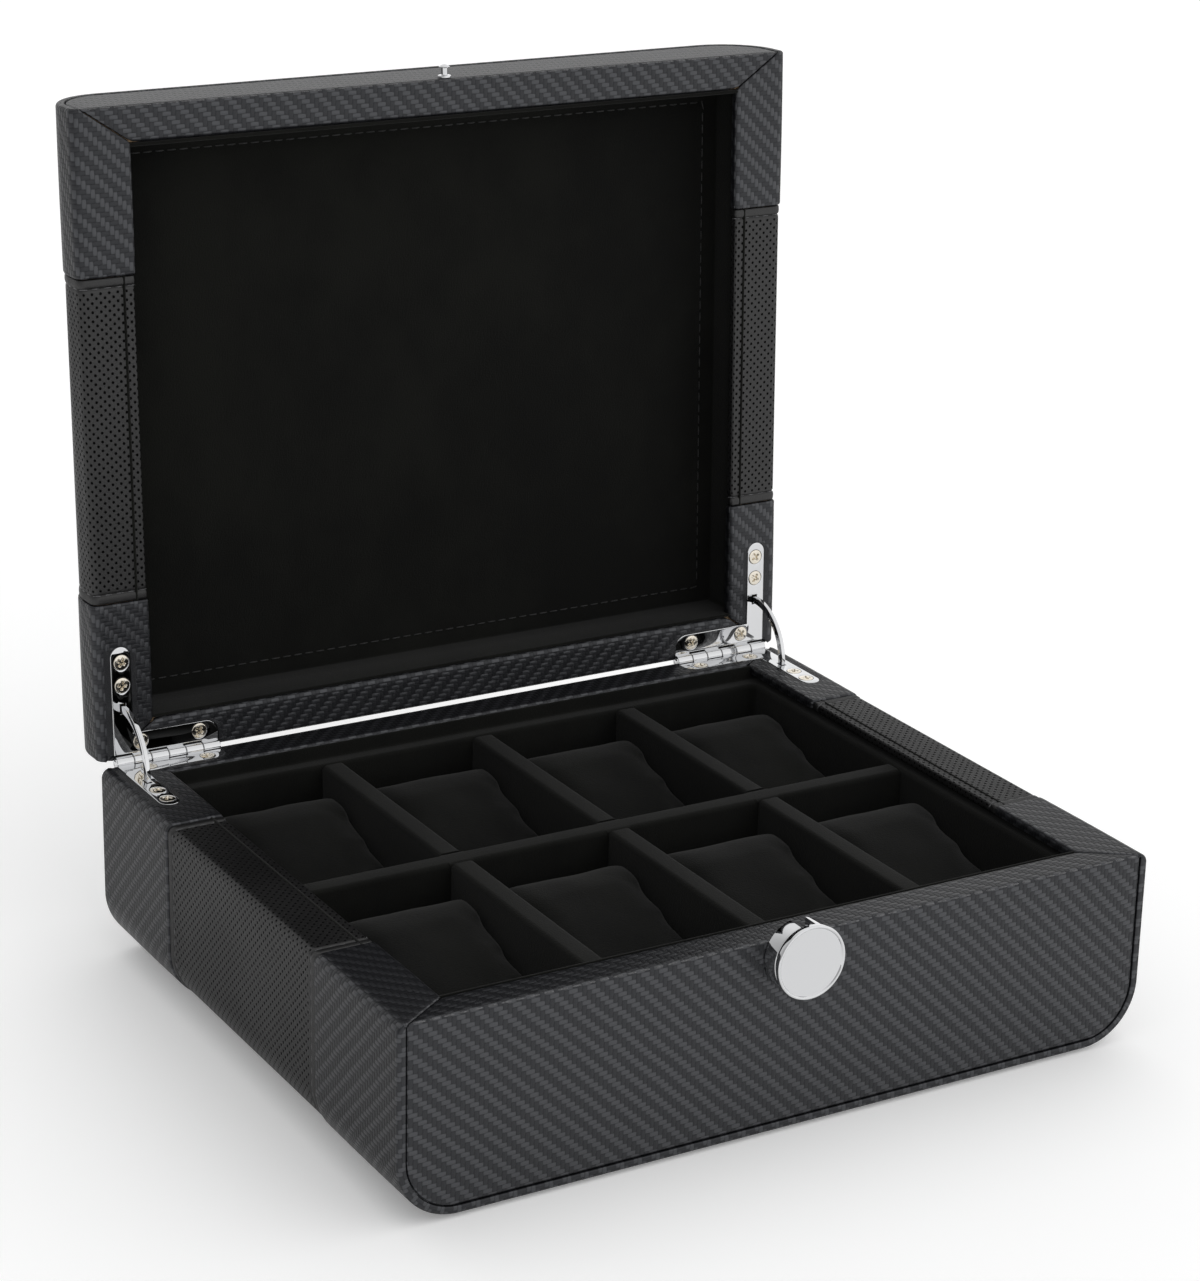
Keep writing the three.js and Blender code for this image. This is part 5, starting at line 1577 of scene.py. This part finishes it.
# Hidden boards and the clip stay as the plain parts, with their finish.
carried = {
    "board": ["base_bottom_board", "base_side_board_left", "base_side_board_right", "base_front_board",
              "base_back_board", "lid_carcass"],
    "spring_steel": ["latch_clip"],
}
for slotName, nodeNames in carried.items():
    for node in nodeNames:
        piece = frame["nodes"][node]
        piece.data.materials.clear()
        piece.data.materials.append(finishes[slotName])
print("boards finished")


studio = {"floor": 6.0, "left": 0.4, "side": 1.2, "overhead": 1.02, "glow": 0.17}


# A white surround, dimmer on the left and overhead, and a pale floor that glows a little.
def addStudio():
    scene = bpy.context.scene
    scene.view_settings.view_transform = "Standard"
    world = bpy.data.worlds.new("studio")
    scene.world = world
    world.use_nodes = True
    background = world.node_tree.nodes["Background"]
    background.inputs[0].default_value = (1.0, 1.0, 1.0, 1)
    wires = Wiring(world.node_tree)
    around = wires.add("ShaderNodeTexCoord").outputs["Generated"]
    direction = wires.add("ShaderNodeSeparateXYZ", {"Vector": around})
    dimLeft = wires.ranged(direction.outputs["X"], -0.9, 0.1, studio["left"], 1.0)
    overhead = wires.ranged(direction.outputs["Z"], 0.1, 1.0, studio["side"], studio["overhead"])
    wires.put(background.inputs[1], wires.maths("MULTIPLY", dimLeft, overhead))
    size = studio["floor"]
    corners = np.array([[-size, -size, 0], [size, -size, 0], [size, size, 0], [-size, size, 0]]) / mm
    mesh = meshFrom("floor", corners, np.array([[0, 1, 2, 3]]), weld=False)
    floor = bpy.data.objects.new("floor", mesh)
    material, wires, shader = newMaterial("paleFloor", Roughness=0.7, Specular_IOR_Level=0.2)
    here = placed(wires, "object")
    clouds = wires.add("ShaderNodeTexNoise", {"Vector": here, "Scale": 3.0})
    pale = wires.mixed(clouds.outputs["Fac"], (0.955, 0.955, 0.955, 1), (0.975, 0.975, 0.975, 1))
    wires.put(shader.inputs["Base Color"], pale)
    wires.put(shader.inputs["Emission Color"], (1.0, 1.0, 1.0, 1))
    wires.put(shader.inputs["Emission Strength"], studio["glow"])
    mesh.materials.append(material)
    scene.collection.objects.link(floor)


addStudio()
